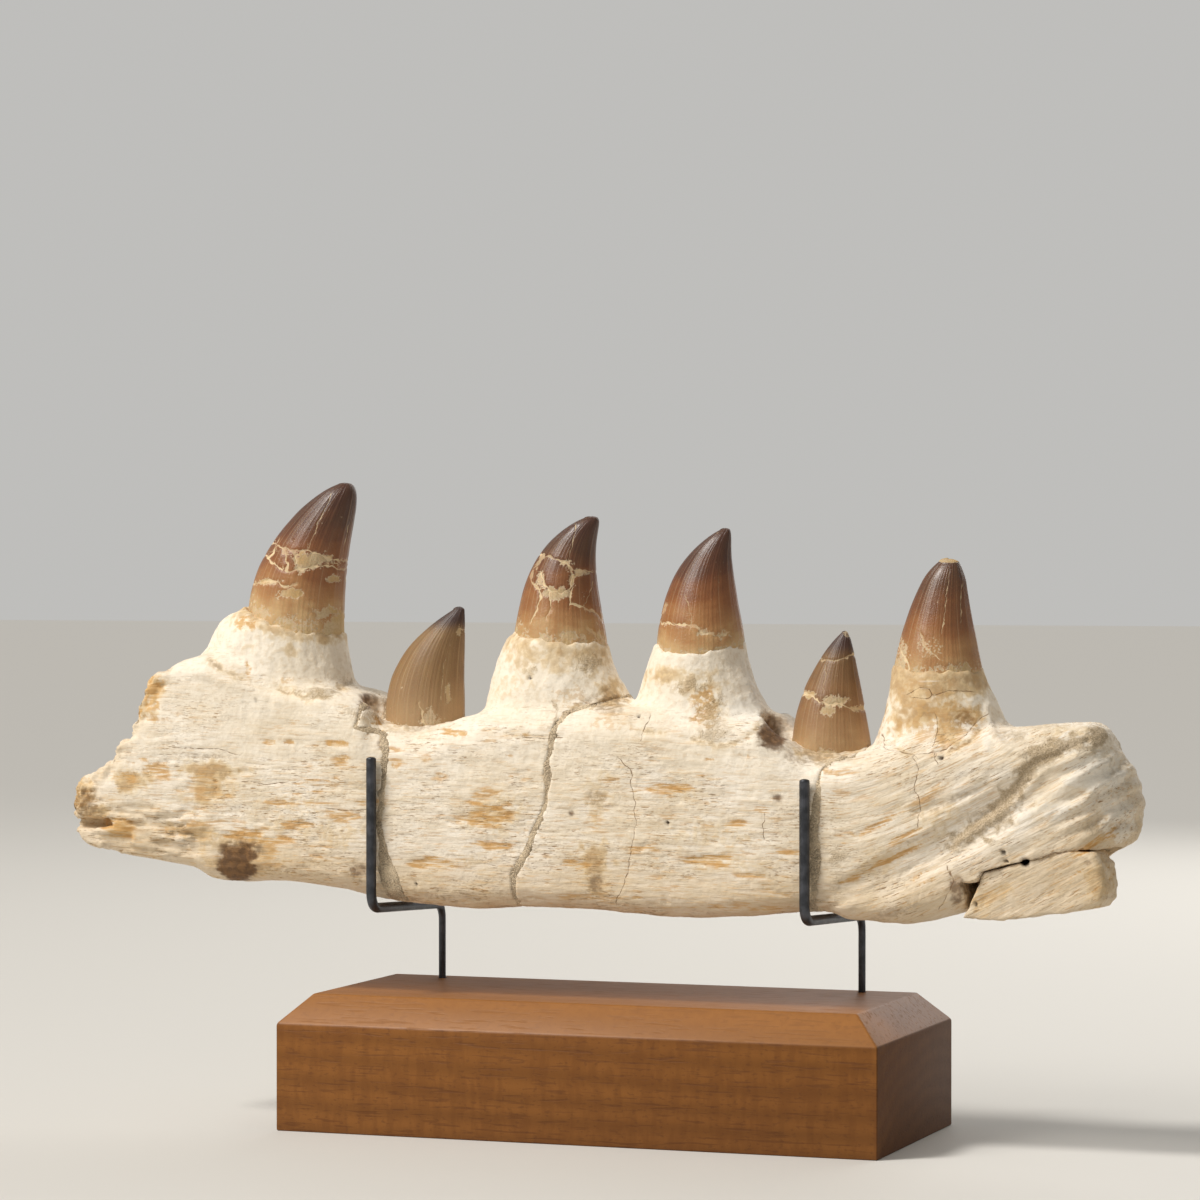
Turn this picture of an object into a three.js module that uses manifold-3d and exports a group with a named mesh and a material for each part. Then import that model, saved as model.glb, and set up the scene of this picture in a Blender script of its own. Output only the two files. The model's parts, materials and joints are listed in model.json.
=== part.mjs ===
// Mosasaur jaw fossil on its stand: a length of lower jaw bone with six teeth, mended from
// several pieces, that lies in two bent steel hooks set in a wooden block.
// Millimetres, +Z up. The origin is the centre of the block's underside, +X runs along the block
// towards the back of the jaw, and -Y is the side that faces the viewer.
import * as THREE from 'three';
import { mergeVertices } from 'three/addons/utils/BufferGeometryUtils.js';
import Module from 'manifold-3d';

const wasm = await Module();
wasm.setup();

const GAP = 0.3; // clearance between pieces that touch

// Wooden block
const BLOCK = { length: 230, width: 100, height: 50, bevel: 10.5 };

// Steel hooks: each leaves the block as a thin post, thickens where it bends forward under the
// bone and turns up in front of it
const POST_RADIUS = 1.35;
const ROD_RADIUS = 1.85;
const ROD_SIDES = 8;
const ROD_STEP = 5;
const SOCKET_RADIUS = POST_RADIUS + GAP + 0.2;
const SOCKET_DEPTH = 20;
const BEND_RADIUS = 6.5;
const HOOKS = [
  { side: 'left', x: -81.5, prongY: -39.2, postY: 30.5, frontZ: 82.1, backZ: 78.5, tipZ: 137.8 },
  { side: 'right', x: 85, prongY: -39.2, postY: 33.5, frontZ: 82.1, backZ: 78.5, tipZ: 132.6 },
];
const BACK_PRONG = { y: 23.9, topZ: 120 };

// Bone: edges of its outline as [x, z] and of its plan as [x, y]
const BONE_TOP = [
  [-208, 121], [-205.5, 126], [-196, 131], [-191, 135], [-187, 141.5], [-182.5, 144.5], [-180, 152],
  [-176, 164.5], [-169, 170], [-150, 175], [-124, 166], [-97, 160.5], [-89, 157], [-83, 149],
  [-70, 147], [-47, 153], [-20, 156], [10, 157], [40, 154], [64, 154], [72, 147], [86, 139.5],
  [103, 142], [125, 148], [152, 150.5], [183, 152.8], [188.5, 150.5], [192.5, 143], [196, 139], [199, 132], [200, 127],
];
const BONE_BOTTOM = [
  [-208, 113], [-206, 108], [-202, 103.5], [-194, 101], [-172, 97.5], [-157, 95], [-149, 91],
  [-142, 90], [-128, 90.8], [-96, 88.3], [-82, 85.3], [-60, 83.2], [-45, 82.5], [-25, 83.9],
  [0, 83.5], [36, 81.5], [60, 82.7], [82, 85], [91, 85], [99, 82.6], [118, 81.8], [130, 84.5], [142, 88],
  [165, 92], [180, 101], [192, 109], [198, 113], [200, 119],
];
const BONE_FRONT = [
  [-208, -31], [-203, -34], [-190, -35.3], [-100, -35.6], [150, -35.4], [182, -33.5], [192, -28], [197.5, -20],
  [200, -12],
];
const BONE_BACK = [
  [-208, -15], [-200, -10], [-185, -5], [-165, 1], [-140, 11], [-110, 17], [-85, 19.3], [0, 20], [85, 19.3],
  [120, 16], [150, 12], [180, 6], [193, 1], [200, -7],
];
const FACE_BULGE = 0.9; // how far the front face swells past a flat wall
const BACK_BULGE = 2; // the same for the tongue side
const UNDERSIDE_DROP = 2.6; // how much lower the underside is at the back than at the front
const CORNER = { bottomFront: 8, topFront: 12, topBack: 14, bottomBack: 16 };
const CORNER_STEPS = 3;
const SHARP_END = { from: -185, to: -125, share: 0.3 }; // the broken front end keeps crisp corners
const BONE_STEP = 10; // spacing of the bone's sections along the middle
const END_STEPS = [0, 1.5, 3.5, 6.5, 11, 16, 20.5, 25, 30, 36]; // closer sections at each end

// Teeth. Each crown rises from `neck` by `height`, is `half` long each way at the neck and leans
// back by `lean`. `sweep` bends the lean, `taper` and `blunt` round the flanks and the tip.
// `seam` is how far the neck line stands higher in front than behind, `sag` how far it dips midway.
// The root is the bony foot: it spreads by `spread` [forward, back] down to `foot`.
const TOOTH_Y = -9;
const TEETH = [
  { x: -124.8, neck: 187, height: 52.2, half: 18.5, lean: 20.4, sweep: 2, taper: 1.5, blunt: 2.15,
    deep: 0.93, seam: 9, sag: 2, foot: 148, spread: [27, 9], hug: [0.42, 1.5] },
  { x: -72.3, neck: 149, height: 43.8, half: 15.2, lean: 14.4, sweep: 2.6, taper: 2.4, blunt: 1.25,
    deep: 0.86, seam: 1, sag: 1, foot: 138, spread: [3, 3], hug: [1, 1], seated: true },
  { x: -18.3, neck: 181, height: 45.3, half: 17.5, lean: 12.6, sweep: 4, taper: 1.05, blunt: 2.15,
    deep: 0.94, seam: 4, sag: 1, foot: 146, spread: [12.5, 19], hug: [0.55, 1.35] },
  { x: 36.1, neck: 180, height: 41.8, half: 16.2, lean: 10, sweep: 3.7, taper: 1.35, blunt: 1.65,
    deep: 0.98, seam: 0, sag: 4, foot: 146, spread: [10, 17], hug: [0.8, 1.7] },
  { x: 85.8, neck: 141.5, height: 43.1, half: 14.8, lean: 5.4, sweep: 2.9, taper: 1.4, blunt: 1.4,
    deep: 0.9, seam: 1, sag: 1, foot: 132, spread: [2, 2], hug: [1, 1], seated: true },
  { x: 125.8, neck: 172, height: 46, half: 15.8, lean: 7, sweep: 2.8, taper: 1.05, blunt: 1.5,
    deep: 0.98, seam: 2, sag: 2, foot: 138, spread: [8, 17], hug: [1.1, 1.2], brokenAt: 210.8 },
];
const CROWN_LEVELS = [0, 0.14, 0.3, 0.46, 0.6, 0.73, 0.84, 0.92, 0.975, 1];
const ROOT_LEVELS = [1, 0.75, 0.5, 0.3, 0.15, 0.05];
const TOOTH_SIDES = 16;
const TIP_SHARE = 0.04; // size of the last ring against the neck

// Breaks that were mended, as [x, z] lines from the underside up through the top
const BREAKS = [
  [[-73, 60], [-74.5, 90], [-78, 102], [-79.7, 115], [-77, 138], [-80, 145.5], [-89.3, 148.5], [-90.5, 200]],
  [[-27, 60], [-26.5, 95], [-20, 108], [-14, 122], [-13, 138], [-10.8, 150], [-8, 154.5], [3, 158], [9.6, 161], [9.8, 175]],
  [[86, 60], [86.5, 92], [88, 104], [87.5, 116], [89.5, 135], [92, 138.6], [100.6, 140], [100.8, 175]],
];

// Long hollows and pits of the bone: centre, half sizes and the turn about Y
const SCOOPS = [
  { at: [146, -39.5, 117], half: [62, 6.5, 8.5], turn: 0.62 }, // valley that climbs to the back end
  { at: [113, -39.2, 101], half: [40, 5.2, 4.5], turn: 0.5 }, // its lower branch
  { at: [-204, -35, 110.6], half: [15, 7.5, 2], turn: 0 }, // cleft at the front tip
  { at: [-88, -15, 157], half: [7, 9, 7], turn: 0 }, // empty socket behind tooth 1
  { at: [69, -16, 151], half: [7, 9, 8], turn: 0 }, // empty socket before tooth 5
  { at: [-40, 24, 104], half: [170, 8, 5.5], turn: 0 }, // groove along the tongue side
];

// Splinter: a flake of the outer wall below the back end, as an [x, z] outline
const JOINT = [[183, 109.2], [175, 108], [168, 105.6], [158, 103.2], [149, 100.8]];
const SPLINTER = [
  [141.6, 84.6], [147, 84], [158, 84], [176, 86.6], [190.5, 89], [192.6, 92], [193, 97], [191.5, 104],
  [188.5, 108.6], ...JOINT, [145.4, 93],
];
const SPLINTER_FRONT = -34.6;
const SPLINTER_BACK = -14;
const SPLINTER_ROUND = 2.4;
// Wall lost from the bone where the splinter broke away, and the gap left before it
const NOTCH = [
  [215, 70], [215, 109.6], ...JOINT.map(([x, z]) => [x, z + 0.4]), [146.6, 97.2], [140.9, 96.8],
  [142.2, 92.5], [141.9, 88.6], [141.9, 70],
];

function material(color, roughness, metalness = 0) {
  return new THREE.MeshStandardMaterial({ color, roughness, metalness });
}
const BONE = material(0xe6d9c0, 0.75);
const FLAKE = material(0xdccbaa, 0.78);
const ENAMEL = material(0x9a704a, 0.3);
const WOOD = material(0x9c6a38, 0.45);
const STEEL = material(0x3f4044, 0.4, 0.8);

// Smooth curve through [at, value] pairs that never overshoots them
function profile(pairs) {
  const slope = pairs.slice(1).map(([at, value], i) => (value - pairs[i][1]) / (at - pairs[i][0]));
  const tangent = pairs.map((pair, i) => {
    const before = slope[Math.max(i - 1, 0)];
    const after = slope[Math.min(i, slope.length - 1)];
    return before * after <= 0 ? 0 : (2 * before * after) / (before + after);
  });
  return (at) => {
    const last = pairs.length - 2;
    const i = Math.min(last, Math.max(0, pairs.findIndex((pair) => pair[0] > at) - 1));
    const start = at >= pairs[last + 1][0] ? last : i;
    const width = pairs[start + 1][0] - pairs[start][0];
    const t = THREE.MathUtils.clamp((at - pairs[start][0]) / width, 0, 1);
    const rise = pairs[start + 1][1] - pairs[start][1];
    const ease = t * t * (3 - 2 * t);
    return pairs[start][1] + rise * ease + width * t * (1 - t) * (tangent[start] * (1 - t) - tangent[start + 1] * t);
  };
}

// Closed skin over a row of rings with equal point counts, capped with a fan at both ends
function ringLoft(rings) {
  const count = rings[0].length;
  const middle = (ring) => ring.reduce((sum, point) => sum.add(point), new THREE.Vector3()).divideScalar(count);
  const points = [...rings.flat(), middle(rings[0]), middle(rings.at(-1))];
  const startHub = points.length - 2;
  const endHub = points.length - 1;
  const faces = [];
  for (let i = 0; i < count; i += 1) {
    const next = (i + 1) % count;
    const end = (rings.length - 1) * count;
    faces.push(startHub, next, i, endHub, end + i, end + next);
    for (let r = 0; r < end; r += count) {
      faces.push(r + i, r + next, r + count + next, r + i, r + count + next, r + count + i);
    }
  }
  const geometry = new THREE.BufferGeometry().setFromPoints(points);
  geometry.setIndex(faces);
  return geometry;
}

function toSolid(geometry) {
  const bare = geometry.clone();
  bare.deleteAttribute('normal');
  bare.deleteAttribute('uv');
  const merged = mergeVertices(bare, 1e-4);
  const mesh = new wasm.Mesh({
    numProp: 3,
    vertProperties: new Float32Array(merged.attributes.position.array),
    triVerts: new Uint32Array(merged.index.array),
  });
  return new wasm.Manifold(mesh);
}

function toGeometry(solid) {
  const { vertProperties, triVerts } = solid.getMesh();
  const geometry = new THREE.BufferGeometry();
  geometry.setAttribute('position', new THREE.BufferAttribute(vertProperties, 3));
  geometry.setIndex(new THREE.BufferAttribute(triVerts, 1));
  geometry.computeVertexNormals();
  return geometry;
}

// Flat plate of an [x, z] outline that runs from one depth y to another
function plate(outline, fromY, toY) {
  const shape = new THREE.Shape(outline.map(([x, z]) => new THREE.Vector2(x, z)));
  const geometry = new THREE.ExtrudeGeometry(shape, { depth: toY - fromY, bevelEnabled: false });
  return geometry.rotateX(Math.PI / 2).translate(0, toY, 0);
}

function scoop({ at, half, turn }) {
  const ball = new THREE.SphereGeometry(1, 12, 8).scale(...half).rotateY(-turn).translate(...at);
  return toSolid(ball);
}

// ---- bone ----

const boneTop = profile(BONE_TOP);
const boneBottom = profile(BONE_BOTTOM);
const boneFront = profile(BONE_FRONT);
const boneBack = profile(BONE_BACK);

// Section of the bone at x: a box with rounded corners, swollen sides and a sloping underside
function boneRing(x) {
  const front = boneFront(x);
  const back = boneBack(x);
  const bottom = boneBottom(x);
  const top = boneTop(x);
  const room = Math.min(back - front, top - bottom) / 2 - 0.2;
  const crisp = THREE.MathUtils.lerp(SHARP_END.share, 1, THREE.MathUtils.smoothstep(x, SHARP_END.from, SHARP_END.to));
  const corners = [
    { y: front, z: bottom, radius: CORNER.bottomFront, from: Math.PI },
    { y: back, z: bottom, radius: CORNER.bottomBack, from: 1.5 * Math.PI },
    { y: back, z: top, radius: CORNER.topBack, from: 0 },
    { y: front, z: top, radius: CORNER.topFront, from: 0.5 * Math.PI },
  ];
  const arcs = corners.map(({ y, z, radius, from }) => {
    const r = Math.min(radius * crisp, room);
    const hubY = y === front ? y + r : y - r;
    const hubZ = z === bottom ? z + r : z - r;
    return Array.from({ length: CORNER_STEPS + 1 }, (_, step) => {
      const angle = from + (step / CORNER_STEPS) * 0.5 * Math.PI;
      return [hubY + r * Math.cos(angle), hubZ + r * Math.sin(angle)];
    });
  });
  const ring = arcs.flatMap((arc, i) => {
    const end = arc.at(-1);
    const next = arcs[(i + 1) % arcs.length][0];
    return [...arc, [(end[0] + next[0]) / 2, (end[1] + next[1]) / 2]];
  });
  return ring.map(([y, z]) => {
    const across = (y - front) / (back - front);
    const up = (z - bottom) / (top - bottom);
    const swell = 4 * up * (1 - up);
    const bulge = THREE.MathUtils.lerp(-FACE_BULGE, BACK_BULGE, across) * swell;
    return new THREE.Vector3(x, y + bulge, z - UNDERSIDE_DROP * across * (1 - up));
  });
}

function boneStations() {
  const start = BONE_TOP[0][0];
  const end = BONE_TOP.at(-1)[0];
  const stations = END_STEPS.map((step) => start + step);
  const middle = end - END_STEPS.at(-1);
  for (let x = stations.at(-1) + BONE_STEP; x < middle - BONE_STEP / 2; x += BONE_STEP) stations.push(x);
  const endStations = END_STEPS.map((step) => end - step).reverse();
  return [...stations, ...endStations];
}

// ---- teeth ----

// Length of a tooth at a height: its leading and trailing edge
function crownSpan(tooth, share) {
  const hub = tooth.x + tooth.lean * share ** tooth.sweep;
  const width = Math.max(1 - share ** tooth.taper, 0) ** (1 / tooth.blunt);
  const half = tooth.half * Math.max(width, TIP_SHARE);
  return [hub - half, hub + half];
}

function rootSpan(tooth, share) {
  const [lead, trail] = tooth.hug;
  return [
    tooth.x - tooth.half - tooth.spread[0] * share ** lead,
    tooth.x + tooth.half + tooth.spread[1] * share ** trail,
  ];
}

function toothRing(tooth, [lead, trail], z, tilt) {
  const hub = (lead + trail) / 2;
  const half = (trail - lead) / 2;
  const rootHalf = Math.min(half, tooth.half + 0.35 * Math.max(half - tooth.half, 0));
  return Array.from({ length: TOOTH_SIDES }, (_, i) => {
    const angle = (2 * Math.PI * i) / TOOTH_SIDES;
    return new THREE.Vector3(
      hub + half * Math.cos(angle),
      TOOTH_Y + tooth.deep * rootHalf * Math.sin(angle),
      z - 0.5 * tooth.seam * tilt * Math.cos(angle),
    );
  });
}

function toothSolid(tooth) {
  const drop = tooth.neck - tooth.foot;
  const rings = [
    ...ROOT_LEVELS.map((share) => toothRing(tooth, rootSpan(tooth, share), tooth.neck - share * drop, 1 - share)),
    ...CROWN_LEVELS.map((share) => (
      toothRing(tooth, crownSpan(tooth, share), tooth.neck + share * tooth.height, 1 - share)
    )),
  ];
  const solid = toSolid(ringLoft(rings));
  return tooth.brokenAt ? solid.subtract(slabAbove(tooth, tooth.brokenAt)) : solid;
}

function slabAbove(tooth, z) {
  const reach = 3 * tooth.half;
  const outline = [[-reach, 0], [reach, 0], [reach, reach], [-reach, reach]];
  return toSolid(plate(outline.map(([x, up]) => [tooth.x + x, z + up]), -reach + TOOTH_Y, reach + TOOTH_Y));
}

// The neck line, seen from the side: high in front, lower behind and dipping in the middle
function neckLine(tooth, lower) {
  const reach = 2.4 * tooth.half;
  const points = [];
  for (let share = -1; share <= 1.001; share += 0.2) {
    const across = share * 2.4;
    const dip = tooth.sag * Math.max(1 - across * across, -0.6);
    points.push([tooth.x + share * reach, tooth.neck - across * tooth.seam * 0.5 - dip - lower]);
  }
  return points;
}

function crownCutter(tooth, lower) {
  const reach = 2.4 * tooth.half;
  const roof = tooth.neck + 1.5 * tooth.height;
  const outline = [...neckLine(tooth, lower), [tooth.x + reach, roof], [tooth.x - reach, roof]];
  return toSolid(plate(outline, TOOTH_Y - reach, TOOTH_Y + reach));
}

// ---- joining and parting the bone ----

function breakSide(line, grow) {
  const far = 400;
  const shifted = line.map(([x, z]) => [x + grow, z]);
  const outline = [...shifted, [far, line.at(-1)[1]], [far, line[0][1]]];
  if (line.at(-1)[1] < 260) {
    outline.splice(shifted.length, 1, [line.at(-1)[0] + grow, 260], [far, 260]);
  }
  return toSolid(plate(outline, -90, 90));
}

function splinterSolid(grow) {
  const shape = new THREE.Shape(SPLINTER.map(([x, z]) => new THREE.Vector2(x, z)));
  const depth = SPLINTER_BACK - SPLINTER_FRONT - 2 * SPLINTER_ROUND;
  const geometry = new THREE.ExtrudeGeometry(shape, {
    depth: depth + 2 * grow,
    bevelEnabled: true,
    bevelThickness: SPLINTER_ROUND,
    bevelSize: SPLINTER_ROUND,
    bevelOffset: grow - SPLINTER_ROUND,
    bevelSegments: 2,
  });
  geometry.rotateX(Math.PI / 2).translate(0, SPLINTER_BACK - SPLINTER_ROUND + grow, 0);
  return toSolid(geometry);
}

function boneSections(teeth) {
  let bone = toSolid(ringLoft(boneStations().map(boneRing)));
  teeth.forEach(({ solid, tooth }) => {
    bone = bone.add(solid.subtract(crownCutter(tooth, GAP)));
  });
  teeth.filter(({ tooth }) => tooth.seated).forEach(({ tooth }) => {
    const seat = toothSolid({ ...tooth, half: tooth.half + GAP });
    bone = bone.subtract(seat.intersect(crownCutter(tooth, GAP)));
  });
  SCOOPS.forEach((hollow) => {
    bone = bone.subtract(scoop(hollow));
  });
  bone = bone.subtract(toSolid(plate(NOTCH, -80, SPLINTER_BACK + GAP)));
  const sections = [];
  BREAKS.forEach((line) => {
    sections.push(bone.subtract(breakSide(line, 0)));
    bone = bone.intersect(breakSide(line, GAP));
  });
  return [...sections, bone];
}

// ---- stand ----

// A round rod along a bent path that keeps to one X
function rodAlong(points) {
  const path = new THREE.CurvePath();
  for (let i = 0; i < points.length - 1; i += 1) {
    const before = points[i - 1];
    const after = points[i + 2];
    const direction = points[i + 1].clone().sub(points[i]).normalize();
    const from = before ? points[i].clone().addScaledVector(direction, BEND_RADIUS) : points[i];
    const to = after ? points[i + 1].clone().addScaledVector(direction, -BEND_RADIUS) : points[i + 1];
    path.add(new THREE.LineCurve3(from, to));
    if (after) {
      const turned = points[i + 1].clone().addScaledVector(after.clone().sub(points[i + 1]).normalize(), BEND_RADIUS);
      path.add(new THREE.QuadraticBezierCurve3(to, points[i + 1], turned));
    }
  }
  const length = path.getLength();
  const postEnd = points[1].distanceTo(points[0]) / length;
  const swelling = BEND_RADIUS / length;
  const steps = Math.round(length / ROD_STEP);
  const sideways = new THREE.Vector3(1, 0, 0);
  const rings = Array.from({ length: steps + 1 }, (_, step) => {
    const share = step / steps;
    const hub = path.getPointAt(share);
    const inward = sideways.clone().cross(path.getTangentAt(share)).normalize();
    const thick = THREE.MathUtils.smoothstep(share, postEnd - swelling, postEnd + swelling);
    const radius = THREE.MathUtils.lerp(POST_RADIUS, ROD_RADIUS, thick);
    return Array.from({ length: ROD_SIDES }, (__, side) => {
      const angle = (2 * Math.PI * side) / ROD_SIDES;
      return hub.clone()
        .addScaledVector(sideways, radius * Math.cos(angle))
        .addScaledVector(inward, -radius * Math.sin(angle));
    });
  });
  return toGeometry(toSolid(ringLoft(rings)));
}

function hookGeometry({ x, prongY, postY, frontZ, backZ, tipZ }) {
  const socketFloor = BLOCK.height - SOCKET_DEPTH + GAP;
  return rodAlong([
    new THREE.Vector3(x, postY, socketFloor),
    new THREE.Vector3(x, postY, backZ),
    new THREE.Vector3(x, prongY, frontZ),
    new THREE.Vector3(x, prongY, tipZ),
  ]);
}

function backProngGeometry({ x, prongY, postY, frontZ, backZ }) {
  const share = (BACK_PRONG.y - prongY) / (postY - prongY);
  const seat = THREE.MathUtils.lerp(frontZ, backZ, share) + ROD_RADIUS + GAP;
  const height = BACK_PRONG.topZ - seat;
  return new THREE.CylinderGeometry(ROD_RADIUS, ROD_RADIUS, height, ROD_SIDES)
    .rotateX(Math.PI / 2)
    .translate(x, BACK_PRONG.y, seat + height / 2);
}

function blockGeometry() {
  const ring = (inset, z) => [[-1, -1], [1, -1], [1, 1], [-1, 1]].map(([sideX, sideY]) => (
    new THREE.Vector3(sideX * (BLOCK.length / 2 - inset), sideY * (BLOCK.width / 2 - inset), z)
  ));
  const body = ringLoft([ring(0, 0), ring(0, BLOCK.height - BLOCK.bevel), ring(BLOCK.bevel, BLOCK.height)]);
  const sockets = HOOKS.map(({ x, postY }) => toSolid(
    new THREE.CylinderGeometry(SOCKET_RADIUS, SOCKET_RADIUS, 2 * SOCKET_DEPTH, 16)
      .rotateX(Math.PI / 2)
      .translate(x, postY, BLOCK.height),
  ));
  return toGeometry(sockets.reduce((solid, socket) => solid.subtract(socket), toSolid(body)));
}

// ---- the object ----

const specimen = new THREE.Group();

function addPiece(name, geometry, finish) {
  const piece = new THREE.Mesh(geometry, finish);
  piece.name = name;
  specimen.add(piece);
}

const teeth = TEETH.map((tooth) => {
  const solid = toothSolid(tooth);
  return { tooth, solid, crown: solid.intersect(crownCutter(tooth, 0)) };
});

boneSections(teeth).forEach((section, i) => {
  addPiece(`jaw_section_${i + 1}`, toGeometry(section), BONE);
});
addPiece('jaw_splinter', toGeometry(splinterSolid(0)), FLAKE);
teeth.forEach(({ crown }, i) => {
  addPiece(`tooth_${i + 1}`, toGeometry(crown), ENAMEL);
});
addPiece('stand_block', blockGeometry(), WOOD);
HOOKS.forEach((hook) => {
  addPiece(`stand_hook_${hook.side}`, hookGeometry(hook), STEEL);
  addPiece(`stand_back_prong_${hook.side}`, backProngGeometry(hook), STEEL);
});

export default specimen;
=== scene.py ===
"""Mosasaur jaw fossil on its museum stand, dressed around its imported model."""
import json
import math
from itertools import product

import bmesh
import bpy
import numpy as np
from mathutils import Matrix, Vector

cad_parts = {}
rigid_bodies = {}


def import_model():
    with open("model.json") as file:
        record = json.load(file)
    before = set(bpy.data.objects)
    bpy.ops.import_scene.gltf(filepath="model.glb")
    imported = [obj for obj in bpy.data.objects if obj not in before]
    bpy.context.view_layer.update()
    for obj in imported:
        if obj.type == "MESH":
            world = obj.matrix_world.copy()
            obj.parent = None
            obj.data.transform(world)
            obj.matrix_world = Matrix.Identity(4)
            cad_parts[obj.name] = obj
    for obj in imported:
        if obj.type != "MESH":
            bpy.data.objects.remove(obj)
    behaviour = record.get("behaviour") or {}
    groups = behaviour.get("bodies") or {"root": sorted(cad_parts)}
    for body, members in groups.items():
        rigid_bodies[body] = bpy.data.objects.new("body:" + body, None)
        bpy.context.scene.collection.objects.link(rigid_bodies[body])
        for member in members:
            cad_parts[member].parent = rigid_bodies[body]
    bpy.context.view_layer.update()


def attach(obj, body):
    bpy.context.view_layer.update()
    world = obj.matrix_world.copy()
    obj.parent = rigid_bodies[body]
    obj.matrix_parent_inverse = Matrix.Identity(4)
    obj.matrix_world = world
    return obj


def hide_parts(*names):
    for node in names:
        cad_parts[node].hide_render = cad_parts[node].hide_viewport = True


bl_info = {
    "name": "Mosasaur Jaw Fossil",
    "version": (1, 0, 0),
    "blender": (4, 5, 0),
    "location": "3D View > Sidebar > Fossil",
    "description": "Builds the bone, teeth, filler, sand and stand of a mosasaur jaw fossil",
    "category": "Object",
}

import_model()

MM = 0.001

# ---------------------------------------------------------------------------
# Shape of the fossil, in millimetres: the same named values as the solids have
# ---------------------------------------------------------------------------

BONE_TOP = [
    (-208, 121), (-205.5, 126), (-196, 131), (-191, 135), (-187, 141.5), (-182.5, 144.5), (-180, 152),
    (-176, 164.5), (-169, 170), (-150, 175), (-124, 166), (-97, 160.5), (-89, 157), (-83, 149),
    (-70, 147), (-47, 153), (-20, 156), (10, 157), (40, 154), (64, 154), (72, 147), (86, 139.5),
    (103, 142), (125, 148), (152, 150.5), (183, 152.8), (188.5, 150.5), (192.5, 143), (196, 139),
    (199, 132), (200, 127),
]
BONE_BOTTOM = [
    (-208, 113), (-206, 108), (-202, 103.5), (-194, 101), (-172, 97.5), (-157, 95), (-149, 91),
    (-142, 90), (-128, 90.8), (-96, 88.3), (-82, 85.3), (-60, 83.2), (-45, 82.5), (-25, 83.9), (0, 83.5),
    (36, 81.5), (60, 82.7), (82, 85), (91, 85), (99, 82.6), (118, 81.8), (130, 84.5), (142, 88),
    (165, 92), (180, 101), (192, 109), (198, 113), (200, 119),
]
BONE_FRONT = [
    (-208, -31), (-203, -34), (-190, -35.3), (-100, -35.6), (150, -35.4), (182, -33.5), (192, -28),
    (197.5, -20), (200, -12),
]
BONE_BACK = [
    (-208, -15), (-200, -10), (-185, -5), (-165, 1), (-140, 11), (-110, 17), (-85, 19.3), (0, 20),
    (85, 19.3), (120, 16), (150, 12), (180, 6), (193, 1), (200, -7),
]
FACE_BULGE = 0.9
BACK_BULGE = 2.0
UNDERSIDE_DROP = 2.6
CORNERS = {"bottom_front": 8, "top_front": 12, "top_back": 14, "bottom_back": 16}
SHARP_END = (-185, -125, 0.3)
ROOT_BLEND = 4.0
ROOT_REACH = 60
SCOOP_BLEND = 2.5
# The foot of a tooth: how far it stands out past its crown, the lip at its neck, the slope of its
# shoulder beside the crown, and the rounding of its rim
ROOT_COLLAR = 0.25
ROOT_LIP = 0.6
SHOULDER_SLOPE = 0.55
RIM_ROUNDING = 2.0

TOOTH_Y = -9
# Half width of each blunt tip
TIP_HALF = {"tooth_1": 0.7, "tooth_2": 1.5, "tooth_3": 0.8, "tooth_4": 0.9, "tooth_5": 0.8, "tooth_6": 0.0}
TEETH = {
    "tooth_1": dict(x=-124.8, neck=187, height=52.2, half=18.5, lean=20.4, sweep=2.0, taper=1.5, blunt=2.15,
                    deep=0.93, seam=9, sag=2, foot=148, spread=(27, 9), hug=(0.42, 1.5)),
    "tooth_2": dict(x=-72.3, neck=149, height=43.8, half=15.2, lean=14.4, sweep=2.6, taper=2.4, blunt=1.25,
                    deep=0.86, seam=1, sag=1, foot=138, spread=(3, 3), hug=(1, 1)),
    "tooth_3": dict(x=-18.3, neck=181, height=45.3, half=17.5, lean=12.6, sweep=4.0, taper=1.05, blunt=2.15,
                    deep=0.94, seam=4, sag=1, foot=146, spread=(12.5, 19), hug=(0.55, 1.35)),
    "tooth_4": dict(x=36.1, neck=180, height=41.8, half=16.2, lean=10.0, sweep=3.7, taper=1.35, blunt=1.65,
                    deep=0.98, seam=0, sag=4, foot=146, spread=(10, 17), hug=(0.8, 1.7)),
    "tooth_5": dict(x=85.8, neck=141.5, height=43.1, half=14.8, lean=5.4, sweep=2.9, taper=1.4, blunt=1.4,
                    deep=0.9, seam=1, sag=1, foot=132, spread=(2, 2), hug=(1, 1)),
    "tooth_6": dict(x=125.8, neck=172, height=46, half=15.8, lean=7.0, sweep=2.8, taper=1.05, blunt=1.5,
                    deep=0.98, seam=2, sag=2, foot=138, spread=(8, 17), hug=(1.1, 1.2), broken_at=210.8),
}

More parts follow.
